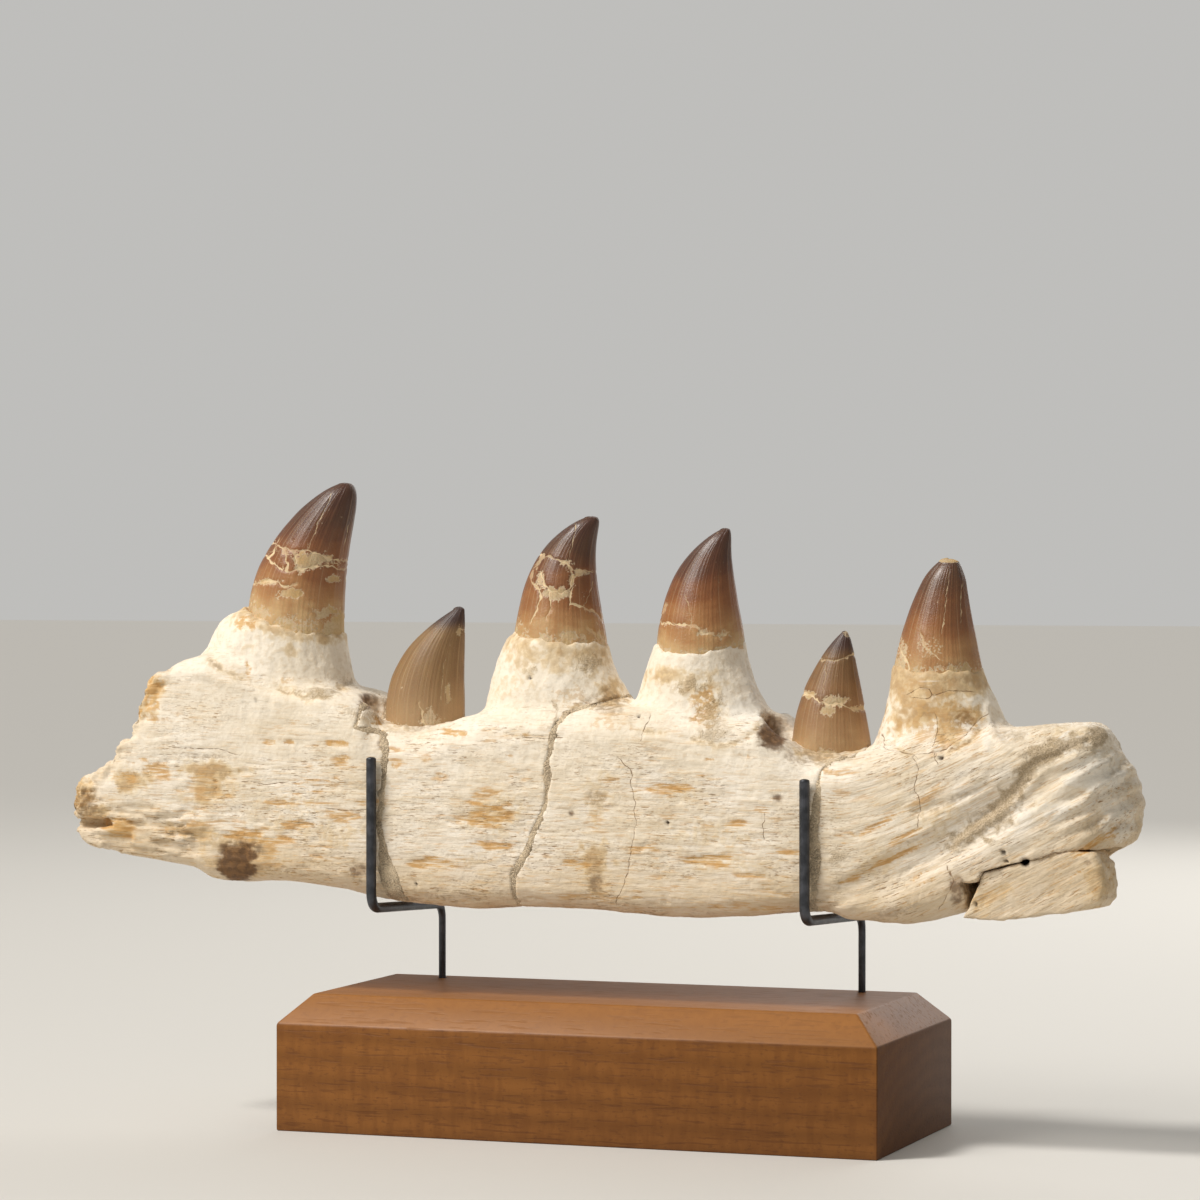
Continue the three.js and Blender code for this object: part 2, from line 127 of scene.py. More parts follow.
# Breaks that were mended, as (x, z) lines, and half the width of the filler in each as (z, width)
BREAKS = [
    dict(name="filler_front",
         line=[(-73, 60), (-74.5, 90), (-78, 102), (-79.7, 115), (-77, 138), (-80, 145.5), (-89.3, 148.5),
               (-90.5, 200)],
         width=[(84, 3.2), (98, 2.4), (108, 1.1), (120, 0.9), (132, 0.5), (144, 0.9), (150, 0.3)]),
    dict(name="filler_middle",
         line=[(-27, 60), (-26.5, 95), (-20, 108), (-14, 122), (-13, 138), (-10.8, 150), (-8, 154.5),
               (3, 158), (9.6, 161), (9.8, 175)],
         width=[(84, 0.4), (96, 1.1), (106, 0.7), (118, 0.5), (126, 0.7), (132, 1.5), (138, 0.4),
                (148, 0.9), (155, 0.3), (160, 0.15)]),
    dict(name="filler_back",
         line=[(86, 60), (86.5, 92), (88, 104), (87.5, 116), (89.5, 135), (92, 138.6), (100.6, 140),
               (100.8, 175)],
         width=[(84, 1.0), (96, 2.0), (108, 1.8), (122, 1.6), (132, 0.6), (138, 0.25)]),
]
BREAK_ROUNDING = 0.5
# The filler lies this far below the bone's face, reaches this far into the bone beside the break,
# and goes this deep
FILLER_SINK = 0.12
FILLER_OVERLAP = 0.9
FILLER_DEPTH = 6.0
FILLER_ROUNDING = 0.4

# Hollows: middle, half lengths and turn about y, in radians
SCOOPS = [
    dict(at=(146, -39.5, 117), half=(62, 6.5, 8.5), turn=0.62),
    dict(at=(113, -39.2, 101), half=(40, 5.2, 4.5), turn=0.5),
    dict(at=(-204, -35, 110.6), half=(15, 7.5, 2), turn=0),
    dict(at=(-88, -15, 157), half=(7, 9, 7), turn=0),
    dict(at=(69, -16, 151), half=(7, 9, 8), turn=0),
    dict(at=(-40, 24, 104), half=(170, 8, 5.5), turn=0),
]

# The splinter, the line where it meets the bone, and the notch that it came from
JOINT = [(183, 109.2), (175, 108), (168, 105.6), (158, 103.2), (149, 100.8)]
SPLINTER = [
    (141.6, 84.6), (147, 84), (158, 84), (176, 86.6), (190.5, 89), (192.6, 92), (193, 97), (191.5, 104),
    (188.5, 108.6), *JOINT, (145.4, 93),
]
SPLINTER_DEPTH = (-34.6, -14)
SPLINTER_ROUND = 0.8
SPLINTER_GAP = 0.3
NOTCH_BLEND = 0.6
NOTCH = [
    (215, 70), (215, 109.6), *[(x, z + 0.1) for x, z in JOINT], (146.6, 97.2), (140.9, 96.8), (142.2, 92.5),
    (141.9, 88.6), (141.9, 70),
]

# Grids: the span of each section of bone along x, and the least and most (y, z) of all of them
SECTION_SPANS = [(-209, -66), (-97, 16), (-34, 108), (80, 201)]
SECTION_LOW = (-38, 79)
SECTION_HIGH = (23, 196)
# The splinter's grid along x and in height, and the fillers' grid in height
SPLINTER_SPAN = (139, 196)
SPLINTER_RISE = (81, 112)
FILLER_RISE = (80, 178)
# A filler's grid goes this far past the points of its line that are lower than FILLER_TOP
FILLER_TOP = 176
FILLER_MARGIN = 6
# How near the surface, in cells, a field is worked out in full
NEAR_CELLS = 3.6
# Seeds that keep the splinter and each crown apart from the others
SPLINTER_SEED = 100
CROWN_SEED = 17

ROOT_BODY = "root"
BONE_SLOT = "fossil_bone"
ENAMEL_SLOT = "tooth_enamel"
WOOD_SLOT = "block_wood"
STEEL_SLOT = "hook_steel"


# ---------------------------------------------------------------------------
# Number helpers
# ---------------------------------------------------------------------------

def smooth_curve(pairs):
    """A smooth curve through (at, value) pairs that never overshoots them."""
    at = np.array([pair[0] for pair in pairs], dtype=float)
    value = np.array([pair[1] for pair in pairs], dtype=float)
    slope = np.diff(value) / np.diff(at)
    before = np.concatenate((slope[:1], slope))
    after = np.concatenate((slope, slope[-1:]))
    same_way = before * after > 0
    tangent = np.where(same_way, 2 * before * after / np.where(same_way, before + after, 1), 0)

    def curve(x):
        i = np.clip(np.searchsorted(at, x, side="right") - 1, 0, len(at) - 2)
        width = at[i + 1] - at[i]
        t = np.clip((x - at[i]) / width, 0, 1)
        ease = t * t * (3 - 2 * t)
        swing = tangent[i] * (1 - t) - tangent[i + 1] * t
        return value[i] + (value[i + 1] - value[i]) * ease + width * t * (1 - t) * swing

    return curve


def ramp(value, low, high):
    """0 below low, 1 above high, and eased between them."""
    t = np.clip((value - low) / (high - low), 0, 1)
    return t * t * (3 - 2 * t)


def blend_min(a, b, reach):
    """The union of two fields with a fillet."""
    h = np.clip(0.5 + 0.5 * (b - a) / reach, 0, 1)
    return b + (a - b) * h - reach * h * (1 - h)


def blend_max(a, b, reach):
    """The overlap of two fields with a rounded edge."""
    return -blend_min(-a, -b, reach)


def rounded_overlap(a, b, radius):
    """The overlap of two fields that were drawn in by radius, given back with round corners."""
    corner = np.hypot(np.maximum(a, 0), np.maximum(b, 0))
    return corner + np.minimum(np.maximum(a, b), 0) - radius


def lattice(ix, iy, iz, seed):
    """A fixed random number from 0 to 1 for each whole-number point."""
    ix, iy, iz = (part.astype(np.int64) for part in (ix, iy, iz))
    bits = (ix * 73856093) ^ (iy * 19349663) ^ (iz * 83492791)
    bits = (bits + seed * 2654435761) & 0xFFFFFFFF
    bits = ((bits ^ (bits >> 15)) * 2246822519) & 0xFFFFFFFF
    bits = ((bits ^ (bits >> 13)) * 3266489917) & 0xFFFFFFFF
    return ((bits ^ (bits >> 16)) & 0xFFFFFF) / float(0xFFFFFF)


def noise(x, y, z, seed):
    """Smooth noise from -1 to 1 with features about one unit across."""
    fx, fy, fz = np.floor(x), np.floor(y), np.floor(z)
    tx, ty, tz = x - fx, y - fy, z - fz
    tx, ty, tz = (t * t * t * (t * (t * 6 - 15) + 10) for t in (tx, ty, tz))
    total = 0
    for dx, dy, dz in product((0, 1), repeat=3):
        weight = (tx if dx else 1 - tx) * (ty if dy else 1 - ty) * (tz if dz else 1 - tz)
        total = total + weight * lattice(fx + dx, fy + dy, fz + dz, seed)
    return 2 * total - 1


def layered_noise(x, y, z, seed, layers=3, gain=0.5):
    """Noise with finer and finer layers, from about -1 to 1."""
    total, strength, reach = 0, 1.0, 0
    for layer in range(layers):
        grow = 2.03 ** layer
        total = total + strength * noise(x * grow, y * grow, z * grow, seed + layer)
        reach += strength
        strength *= gain
    return total / reach


def to_line(x, z, line):
    """Distance from points (x, z) to a bent line."""
    best = np.full(x.shape, 1e9)
    for (ax, az), (bx, bz) in zip(line, line[1:]):
        length = max((bx - ax) ** 2 + (bz - az) ** 2, 1e-9)
        t = np.clip(((x - ax) * (bx - ax) + (z - az) * (bz - az)) / length, 0, 1)
        best = np.minimum(best, np.hypot(x - ax - t * (bx - ax), z - az - t * (bz - az)))
    return best


def outline_field(x, z, outline):
    """Signed distance to a closed (x, z) outline: negative inside."""
    closed = outline + outline[:1]
    inside = np.zeros(x.shape, dtype=bool)
    for (ax, az), (bx, bz) in zip(closed, closed[1:]):
        crosses = (az > z) != (bz > z)
        run = (bx - ax) * (z - az) / ((bz - az) or 1e-9) + ax
        inside ^= crosses & (x < run)
    return np.where(inside, -1, 1) * to_line(x, z, closed)


# ---------------------------------------------------------------------------
# Fields of the bone: negative inside, millimetres
# ---------------------------------------------------------------------------

bone_top = smooth_curve(BONE_TOP)
bone_bottom = smooth_curve(BONE_BOTTOM)
bone_front = smooth_curve(BONE_FRONT)
bone_back = smooth_curve(BONE_BACK)


def shaft_field(x, y, z):
    """The jaw bone without its teeth: a long box with rounded corners and swollen sides."""
    front, back, bottom, top = bone_front(x), bone_back(x), bone_bottom(x), bone_top(x)
    across = np.clip((y - front) / (back - front), 0, 1)
    up = np.clip((z - bottom) / (top - bottom), 0, 1)
    swell = 4 * up * (1 - up)
    y = y + swell * (FACE_BULGE * (1 - across) - BACK_BULGE * across)
    z = z + UNDERSIDE_DROP * across * (1 - up)
    middle_y, half_y = (front + back) / 2, (back - front) / 2
    middle_z, half_z = (bottom + top) / 2, (top - bottom) / 2
    at_front, at_bottom = y < middle_y, z < middle_z
    radius = np.where(
        at_front,
        np.where(at_bottom, CORNERS["bottom_front"], CORNERS["top_front"]),
        np.where(at_bottom, CORNERS["bottom_back"], CORNERS["top_back"]),
    )
    crisp = SHARP_END[2] + (1 - SHARP_END[2]) * ramp(x, SHARP_END[0], SHARP_END[1])
    radius = np.minimum(radius * crisp, np.minimum(half_y, half_z) - 0.2)
    over_y = np.abs(y - middle_y) - half_y + radius
    over_z = np.abs(z - middle_z) - half_z + radius
    wall = rounded_overlap(over_y, over_z, radius)
    return np.maximum(wall, np.maximum(BONE_TOP[0][0] - x, x - BONE_TOP[-1][0]))


def neck_height(tooth, x):
    """Height of the line where enamel meets root, seen from the side."""
    across = np.clip((x - tooth["x"]) / tooth["half"], -1.05, 1.05)
    sag = tooth["sag"] * np.maximum(1 - across * across, -0.6)
    return tooth["neck"] - 0.5 * tooth["seam"] * across - sag


def root_field(tooth, x, y, z):
    """The bony foot of one tooth, up to its neck line."""
    drop = tooth["neck"] - tooth["foot"]
    tilt = 1 - np.clip((tooth["neck"] - z) / drop, 0, 1)
    lean = np.clip((x - tooth["x"]) / tooth["half"], -1, 1) * 0.5 * tooth["seam"] * tilt
    share = np.clip((tooth["neck"] - z - lean) / drop, 0.003, 1.4)
    lead = tooth["x"] - tooth["half"] - tooth["spread"][0] * share ** tooth["hug"][0]
    trail = tooth["x"] + tooth["half"] + tooth["spread"][1] * share ** tooth["hug"][1]
    half = (trail - lead) / 2
    deep = tooth["deep"] * (tooth["half"] + 0.35 * (half - tooth["half"]))
    reach = np.hypot((x - (lead + trail) / 2) / half, (y - TOOTH_Y) / deep)
    wall = (reach - 1) * np.minimum(half, deep) - ROOT_COLLAR
    waves = np.sin(x / 1.9) * np.sin(y / 2.3 + x / 3.1) + 0.6 * np.sin(x / 0.83 + 1.7) * np.sin(y / 1.1)
    outside = np.maximum(np.abs(x - tooth["x"]) - tooth["half"], 0)
    rim = z - neck_height(tooth, x) - ROOT_LIP * (1 + waves) + SHOULDER_SLOPE * outside
    return np.maximum(blend_max(wall, rim, RIM_ROUNDING), tooth["foot"] - 4 - z)


def scoop_field(scoop, x, y, z):
    """A long hollow: positive outside it."""
    (cx, cy, cz), (a, b, c) = scoop["at"], scoop["half"]
    cos, sin = math.cos(scoop["turn"]), math.sin(scoop["turn"])
    along = ((x - cx) * cos + (z - cz) * sin) / a
    across = ((z - cz) * cos - (x - cx) * sin) / c
    deep = (y - cy) / b
    reach = np.sqrt(along ** 2 + across ** 2 + deep ** 2)
    steep = np.sqrt((along / a) ** 2 + (across / c) ** 2 + (deep / b) ** 2)
    return reach * (reach - 1) / np.maximum(steep, 1e-6)


def bone_field(x, y, z):
    """The whole bone with its tooth roots, hollows and the lost piece of wall."""
    field = shaft_field(x, y, z)
    for tooth in TEETH.values():
        if x.min() < tooth["x"] + ROOT_REACH and x.max() > tooth["x"] - ROOT_REACH:
            field = blend_min(field, root_field(tooth, x, y, z), ROOT_BLEND)
    for scoop in SCOOPS:
        field = blend_max(field, -scoop_field(scoop, x, y, z), SCOOP_BLEND)
    lost = np.maximum(outline_field(x, z, NOTCH), y - SPLINTER_DEPTH[1] - SPLINTER_GAP)
    return blend_max(field, -lost, NOTCH_BLEND)


def break_side(mend, x, y, z):
    """Signed distance to a mended break: negative towards the front end."""
    line_z = [point[1] for point in mend["line"]]
    line_x = [point[0] for point in mend["line"]]
    wander = 0.5 * noise(y / 7, z / 4, 0 * z, 5)
    place = np.interp(z, line_z, line_x)
    lean = np.interp(z + 0.5, line_z, line_x) - np.interp(z - 0.5, line_z, line_x)
    return (x - place + wander) / np.sqrt(1 + lean ** 2)


def break_half(mend, z):
    """Half the width of a mended break at a height."""
    return np.interp(z, [point[0] for point in mend["width"]], [point[1] for point in mend["width"]])


def section_field(number):
    """The field of one length of the bone, between two breaks."""
    def field(x, y, z):
        value = bone_field(x, y, z)
        if number > 0:
            mend = BREAKS[number - 1]
            value = blend_max(value, break_half(mend, z) - break_side(mend, x, y, z), BREAK_ROUNDING)
        if number < len(BREAKS):
            mend = BREAKS[number]
            value = blend_max(value, break_half(mend, z) + break_side(mend, x, y, z), BREAK_ROUNDING)
        return value
    return field


def filler_field(mend):
    """A band of filler that lies a little below the bone's face."""
    def field(x, y, z):
        bone = bone_field(x, y, z)
        slab = np.abs(break_side(mend, x, y, z)) - break_half(mend, z) - FILLER_OVERLAP
        band = blend_max(bone + FILLER_SINK, slab, FILLER_ROUNDING)
        return np.maximum(band, -bone - FILLER_DEPTH)
    return field


def splinter_field(x, y, z):
    """The loose splinter: its outline, as thick as the piece of wall that it closes."""
    crumbled = SPLINTER_ROUND + 2.4 * ramp(x, 176, 190)
    side = outline_field(x, z, SPLINTER) + crumbled
    middle = sum(SPLINTER_DEPTH) / 2
    depth = np.abs(y - middle) - (SPLINTER_DEPTH[1] - SPLINTER_DEPTH[0]) / 2 + crumbled
    return rounded_overlap(side, depth, crumbled)


# ---------------------------------------------------------------------------
# From a field to a mesh
# ---------------------------------------------------------------------------

def sampled(field, axes, step):
    """The field on a grid, worked out in full only near its surface."""
    x, y, z = np.meshgrid(*(axis[::2] for axis in axes), indexing="ij")
    coarse = field(x, y, z)
    value = coarse
    for axis, positions in enumerate(axes):
        value = np.repeat(value, 2, axis=axis).take(np.arange(len(positions)), axis=axis)
    near = np.abs(value) < NEAR_CELLS * step
    places = [axis[index] for axis, index in zip(axes, np.nonzero(near))]
    value[near] = field(*places)
    return value


def surface_net(field, low, high, step):
    """Points and quads of the field's zero surface on a grid of cells."""
    axes = [np.arange(a - step, b + 2 * step, step) for a, b in zip(low, high)]
    value = sampled(field, axes, step)
    inside = value < 0
    cells = tuple(n - 1 for n in value.shape)
    corner = {
        start: tuple(slice(a, a + n) for a, n in zip(start, cells)) for start in product((0, 1), repeat=3)
    }
    count_inside = sum(inside[part].astype(np.int8) for part in corner.values())
    cell = np.argwhere((count_inside > 0) & (count_inside < 8))
    number = np.full(cells, -1, dtype=np.int64)
    number[tuple(cell.T)] = np.arange(len(cell))
    total = np.zeros((len(cell), 3))
    hits = np.zeros(len(cell))
    for start in corner:
        for axis in range(3):
            if start[axis]:
                continue
            end = tuple(1 if i == axis else start[i] for i in range(3))
            a = value[tuple((cell + start).T)]
            b = value[tuple((cell + end).T)]
            cut = (a < 0) != (b < 0)
            t = np.where(cut, a / np.where(cut, a - b, 1), 0)
            place = np.array(start, dtype=float) + t[:, None] * (np.array(end) - np.array(start))
            total += place * cut[:, None]
            hits += cut
    points = (cell + total / hits[:, None]) * step + [axis[0] for axis in axes]
    quads = []
    for axis in range(3):
        first, second = [(1, 2), (2, 0), (0, 1)][axis]
        here = np.take(inside, np.arange(0, value.shape[axis] - 1), axis=axis)
        there = np.take(inside, np.arange(1, value.shape[axis]), axis=axis)
        edge = np.argwhere(here != there)
        edge = edge[(edge[:, first] > 0) & (edge[:, second] > 0)]
        edge = edge[(edge[:, first] < cells[first]) & (edge[:, second] < cells[second])]
        ring = []
        for back_first, back_second in ((0, 0), (1, 0), (1, 1), (0, 1)):
            at = edge.copy()
            at[:, first] -= back_first
            at[:, second] -= back_second
            ring.append(number[tuple(at.T)])
        ring = np.stack(ring, axis=1)
        outward = here[tuple(edge.T)]
        ring[~outward] = ring[~outward][:, ::-1]
        quads.append(ring)
    return points, np.concatenate(quads)


def settle(field, points, step):
    """Moves points onto the zero surface and gives the outward direction at each."""
    reach = 0.2
    for _ in range(2):
        x, y, z = points.T
        value = field(x, y, z)
        slope = np.stack([
            field(x + reach, y, z) - field(x - reach, y, z),
            field(x, y + reach, z) - field(x, y - reach, z),
            field(x, y, z + reach) - field(x, y, z - reach),
        ], axis=1) / (2 * reach)
        size = np.maximum(np.linalg.norm(slope, axis=1), 0.3)
        move = np.clip(value / size, -0.5 * step, 0.5 * step)
        points = points - slope / size[:, None] * move[:, None]
    return points, slope / size[:, None]


def settled_net(field, low, high, step):
    """Points of the field's zero surface, the outward direction at each, and the quads."""
    points, quads = surface_net(field, low, high, step)
    return (*settle(field, points, step), quads)


def new_object(name, data):
    """An object with some data, linked to the scene."""
    made = bpy.data.objects.new(name, data)
    bpy.context.scene.collection.objects.link(made)
    return made


def mesh_piece(name, points_mm, faces, colours, material):
    """A smooth-shaded object from points in millimetres, with its place in its mesh."""
    mesh = bpy.data.meshes.new(name)
    mesh.vertices.add(len(points_mm))
    mesh.vertices.foreach_set("co", (np.asarray(points_mm) * MM).astype(np.float32).ravel())
    sizes = np.concatenate([np.full(len(part), part.shape[1]) for part in faces])
    corners = np.concatenate([part.ravel() for part in faces])
    mesh.loops.add(len(corners))
    mesh.loops.foreach_set("vertex_index", corners.astype(np.int32))
    mesh.polygons.add(len(sizes))
    starts = np.concatenate(([0], np.cumsum(sizes)[:-1]))
    mesh.polygons.foreach_set("loop_start", starts.astype(np.int32))
    mesh.update(calc_edges=True)
    mesh.validate()
    for layer, values in colours.items():
        kind = "FLOAT_VECTOR" if values.shape[1] == 3 else "FLOAT_COLOR"
        attribute = mesh.attributes.new(layer, kind, "POINT")
        key = "vector" if values.shape[1] == 3 else "color"
        attribute.data.foreach_set(key, values.astype(np.float32).ravel())
    mesh.polygons.foreach_set("use_smooth", np.ones(len(mesh.polygons), dtype=bool))
    mesh.materials.append(material)
    return new_object(name, mesh)


# ---------------------------------------------------------------------------
# Marks on the bone: drawn on the plane y = -34 and carried back on a slant
# ---------------------------------------------------------------------------

MARK_PLANE = -34
CROWN_PLANE = -10
# The slant runs towards a point far in front: its x, and how far it is from the marks' plane
SLANT_FROM = 521
SLANT_REACH = 1424

# Patches of each kind: (x, z, half length, half height, strength)
OCHRE = [
    (-182.5, 128, 3.5, 2.2, 0.8), (-170, 131.5, 6, 3.5, 0.8), (-151, 124, 8, 7, 0.5),
    (-186, 109.5, 6, 3, 0.9), (-174, 159, 4, 9, 0.75), (-180, 153, 2.5, 2.5, 1.0),
    (-125, 142.5, 2, 1.2, 0.8), (-116.5, 142.5, 1.6, 1.1, 0.8), (-98, 142, 5.5, 1.6, 1.0),
    (-96, 136, 3.6, 1.8, 0.9), (-106, 141, 2, 1, 0.6), (-108, 134, 2.4, 1, 0.5), (-115, 150, 3, 1.2, 0.5),
    (-74, 135.5, 2, 1.8, 0.8), (-62, 137, 2.2, 1.6, 0.6), (-57, 131, 3, 1.8, 0.6),
    (-39, 125, 6, 2.2, 0.7), (-38, 117, 9, 4.5, 0.9), (-36, 106, 7, 1.4, 0.95), (-60, 99, 11, 2, 0.85),
    (-113, 112, 6, 1.6, 0.8), (-96, 115.5, 9, 2, 0.8), (-120, 120, 16, 0.8, 0.8),
    (10.5, 131, 3, 1.8, 0.6), (4, 116, 3, 4, 0.5), (32, 128, 8, 2, 0.9), (33, 118.5, 4, 1.6, 0.6),
    (57, 116, 4, 1.4, 0.85), (48, 102.5, 9, 2, 1.0), (63, 97.5, 6, 1, 0.9), (68, 121, 2.5, 1.5, 0.6),
    (46, 158, 5, 7, 0.75), (134, 152, 14, 9, 0.55), (126, 163, 10, 7, 0.4), (-51, 147, 5, 1.2, 0.9),
    (-134, 186.5, 4, 2.4, 0.75), (95, 135, 6, 1.3, 0.7), (115, 104.5, 16, 1.2, 0.9),
    (107, 115, 8, 1.2, 0.85), (120, 112, 6, 1.6, 0.8), (127, 126, 8, 3, 0.6), (189, 112, 8, 1.6, 1.0),
    (150, 93, 6, 3, 0.5), (-124, 106, 9, 1.6, 0.9), (-124.5, 101, 4, 4, 0.6), (-134, 107.5, 9, 2.6, 0.9),
    (10, 152, 9, 4, 0.4), (-118, 165.5, 3, 2.4, 0.5), (-100, 127, 8, 1.1, 0.6), (-84, 121, 6, 1.2, 0.8),
    (-140, 112, 7, 1.4, 0.5), (20, 106, 8, 1.2, 0.8), (-5, 100, 6, 1.3, 0.8), (78, 106, 7, 1.2, 0.85),
    (98, 127, 7, 1.5, 0.5), (-133.5, 170, 1.2, 2.6, 0.8), (-4, 160, 7, 4, 0.35), (2, 88, 14, 1.2, 0.6),
    (58, 86, 16, 1.4, 0.6), (112, 152, 4, 5, 0.4), (-152, 112, 9, 1.4, 0.6), (-205, 120, 5, 4, 0.6),
]
BROWN = [
    (-137.5, 101, 8, 5.5, 0.95), (-138, 95, 7.5, 6.5, 1.15), (-131, 103, 4, 2.5, 0.6),
    (-89, 95, 4.5, 3.5, 0.7), (-201, 118.5, 7, 7, 0.6), (4.5, 124, 4.5, 3.5, 0.5),
    (-5, 118.5, 1.6, 1.4, 0.8), (73.5, 125.5, 2.8, 1.8, 0.8), (4.5, 93, 3, 3.6, 0.6),
    (32, 115.8, 0.6, 0.6, 1.0), (-52, 102, 3, 1, 0.4), (-149, 136.5, 15, 0.9, 0.45),
    (139.2, 95, 3, 6, 0.7), (186, 105, 1.6, 1.4, 0.7), (72, 148, 6, 5.5, 0.95), (-84, 157.5, 5, 3, 0.8),
    (9, 158, 9, 3.6, 0.55), (142, 153.5, 4.5, 3.5, 0.55), (-80, 142, 3, 2.2, 0.55),
    (125, 112, 11, 1, 0.5), (116, 86, 18, 2.4, 0.4), (138, 126, 13, 1.6, 0.45), (-68, 149, 10, 2.4, 0.5),
    (88, 140.5, 17, 3.2, 0.5),
]
SAND = [
    (-105, 160.5, 11, 2.8, 0.75), (-92, 164.5, 4, 2.6, 0.6), (-87, 153.5, 9, 3, 0.5),
    (50, 148, 11, 2, 0.7), (47.5, 148, 3, 3.5, 0.6), (95, 105, 5, 5.5, 0.7), (189, 117, 8, 4, 0.5),
    (158, 148.5, 9, 3.2, 0.6), (191, 148.5, 5, 3.5, 0.5), (-12, 150, 4, 3, 0.4), (49, 156, 6, 10, 0.7),
    (95, 100, 4, 13, 0.4), (2, 172, 7, 4, 0.7), (41, 165, 10, 3.5, 0.62), (-20, 170, 5, 3, 0.45),
    (-77, 146, 5, 1.6, 0.5), (133.5, 141, 2, 1.2, 0.6), (172, 152, 9, 3, 0.5), (-187, 104.5, 5, 2, 0.4),
]
# Whitish patches. Those at the right end, near x 188 and x 197, are whiter paint and also painted light: they
# lift an end that faces away from the lamps
WHITE = [
    (174, 123, 5, 3.2, 0.8), (188, 136, 11, 6, 0.85), (197, 120, 6, 8, 0.7), (162.5, 122, 3.4, 2.6, 0.7),
    (181, 146, 6, 3.2, 1.0), (61, 156, 5.5, 6.5, 0.9), (-12, 163, 5, 4, 0.5), (28, 158, 4, 5, 0.45),
    (-135, 155, 13, 4, 0.35), (-60, 112, 14, 9, 0.3), (64, 166, 3, 4, 0.6), (150, 149, 1.6, 8, 0.6),
    (130, 166, 5, 1.6, 0.5),
]
# Sandy seams: (half width, strength, points)
SAND_SEAMS = [
    (4.6, 1.2, [(139, 111), (149, 118), (156, 124), (161, 132.5), (167, 139.5), (177, 145.5),
                (189, 148.5)]),
    (2.0, 0.5, [(187, 151), (193, 143), (196, 135)]),
    (1.2, 0.8, [(-11.7, 143), (-11, 151), (-10.6, 156), (-12.2, 158.5)]),
]
# Seams where a tooth's foot meets the jaw: (half width, depth, stain, points)
SEAMS = [
    (1.4, 0.55, 0.5, [(-149, 173), (-145, 170), (-142, 168.5), (-134, 165.5), (-122, 162.5), (-114, 160),
                      (-108, 158.5), (-101.5, 160), (-90, 164.5)]),
    (0.9, 0.6, 0.35, [(-31.5, 146.5), (-22, 145.6), (-12.5, 145.4)]),
    (0.8, 0.7, 0.55, [(-9.5, 153), (-4, 156), (1, 158), (9.5, 163)]),
    (1.0, 0.7, 0.5, [(18.5, 151), (22.5, 148.3), (33, 148), (42, 146), (49, 144.5), (55.5, 144.3),
                     (62, 146.5), (67, 152)]),
    (0.9, 0.8, 0.6, [(114.5, 149), (117, 143.7), (121, 142.6), (126, 143.8), (134.5, 142.5), (143, 146),
                     (149, 152)]),
    (0.5, 0.5, 0.3, [(134.4, 150.5), (134, 143)]),
]
# Yellow-tan parts, as patches too
HONEY = [
    (-29, 165, 13, 7, 0.5), (2, 171, 8, 8, 0.7), (11, 160, 9, 7, 1), (-14, 174, 22, 7, 0.8),
    (44, 165, 11, 6, 0.85), (31, 168, 9, 4.5, 1.05), (49, 157.5, 5, 6, 0.8), (126, 166, 24, 9, 1),
    (128, 156, 20, 9, 1.15), (144, 155, 8, 5, 1), (136, 150, 9, 5, 1.1), (122, 151, 10, 6, 0.6),
    (-203, 122, 8, 7, 1.2), (-196, 115, 8, 4, 1.16), (-184, 127, 8, 5, 1.01), (-177, 127, 6, 4, 0.87),
    (-187, 108.5, 9, 4, 1.01), (-157, 108, 14, 4, 1.1), (-173, 163, 7, 7, 0.95), (-177, 154, 5, 6, 0.9),
    (-149, 124, 14, 9, 0.95), (-149, 131.5, 17, 4.5, 1.1), (4, 103, 8, 9, 1.1),
    (-115, 119.5, 18, 5, 0.65), (-118, 112, 14, 5, 0.65), (-101, 108, 16, 6, 0.65),
    (-135, 101, 17, 10, 1.2), (-36, 118, 14, 9, 0.72), (6, 123, 6, 13, 0.72), (5, 92, 5, 7, 0.87),
    (38, 126, 11, 5, 0.58), (50, 112, 16, 7, 0.58), (55, 102, 18, 5, 0.58), (-46, 100, 14, 4, 0.58),
    (-112, 183, 9, 5, 0.8), (-116, 176, 4, 4, 0.8), (-99, 181, 4, 5, 0.6), (-133, 178, 4, 3, 0.45),
    (-134, 187, 9, 4, 0.7), (-122, 184, 9, 4, 0.5), (130, 120, 14, 9, 0.58), (112, 104, 18, 6, 0.65),
    (150, 91, 14, 4, 0.87), (190, 98, 6, 10, 1.16), (90, 141, 14, 4, 0.87), (-72, 150, 14, 4, 0.6),
    (178, 149, 12, 4, 0.58),
]
# How far each crown's colour runs down over its root, in millimetres, and its strength
COLLARS = {"tooth_1": (4.0, 0.9), "tooth_3": (8.0, 0.78), "tooth_6": (9.0, 1.1)}
# Grooves cut along the surface: (half width, depth, points)
GROOVES = [
    (1.1, 0.6, [(-206, 111), (-198, 110.8), (-189, 112)]),
    (0.8, 0.6, [(-188, 116), (-176, 115.4), (-166, 116.5), (-156, 114)]),
    (0.9, 0.7, [(-184, 108), (-172, 109.4), (-160, 107), (-151, 108.5)]),
    (0.7, 0.5, [(-186, 104), (-176, 105.2), (-164, 103.8)]),
    (1.6, 0.9, [(124, 121), (137, 125), (150, 131)]),
    (1.1, 0.7, [(176, 125), (187, 131), (198, 138)]),
    (1.1, 0.7, [(180, 119), (190, 124.5), (200, 130)]),
    (0.9, 0.5, [(172, 131), (182, 136), (192, 141)]),
    (1.2, 1.0, [(88, 84.6), (100, 90.3), (112.5, 96), (123.5, 102), (134.5, 107), (140, 109.5)]),
    (0.9, 0.5, [(104, 90.5), (118, 96), (136, 104)]),
    (1.0, 0.9, [(145, 119), (152.5, 123), (160, 130), (163, 135.7), (167, 139), (175, 143),
                (186, 146.5)]),
    (0.8, 0.6, [(24, 140.5), (33, 141), (42, 143), (54, 141), (72, 140)]),
]
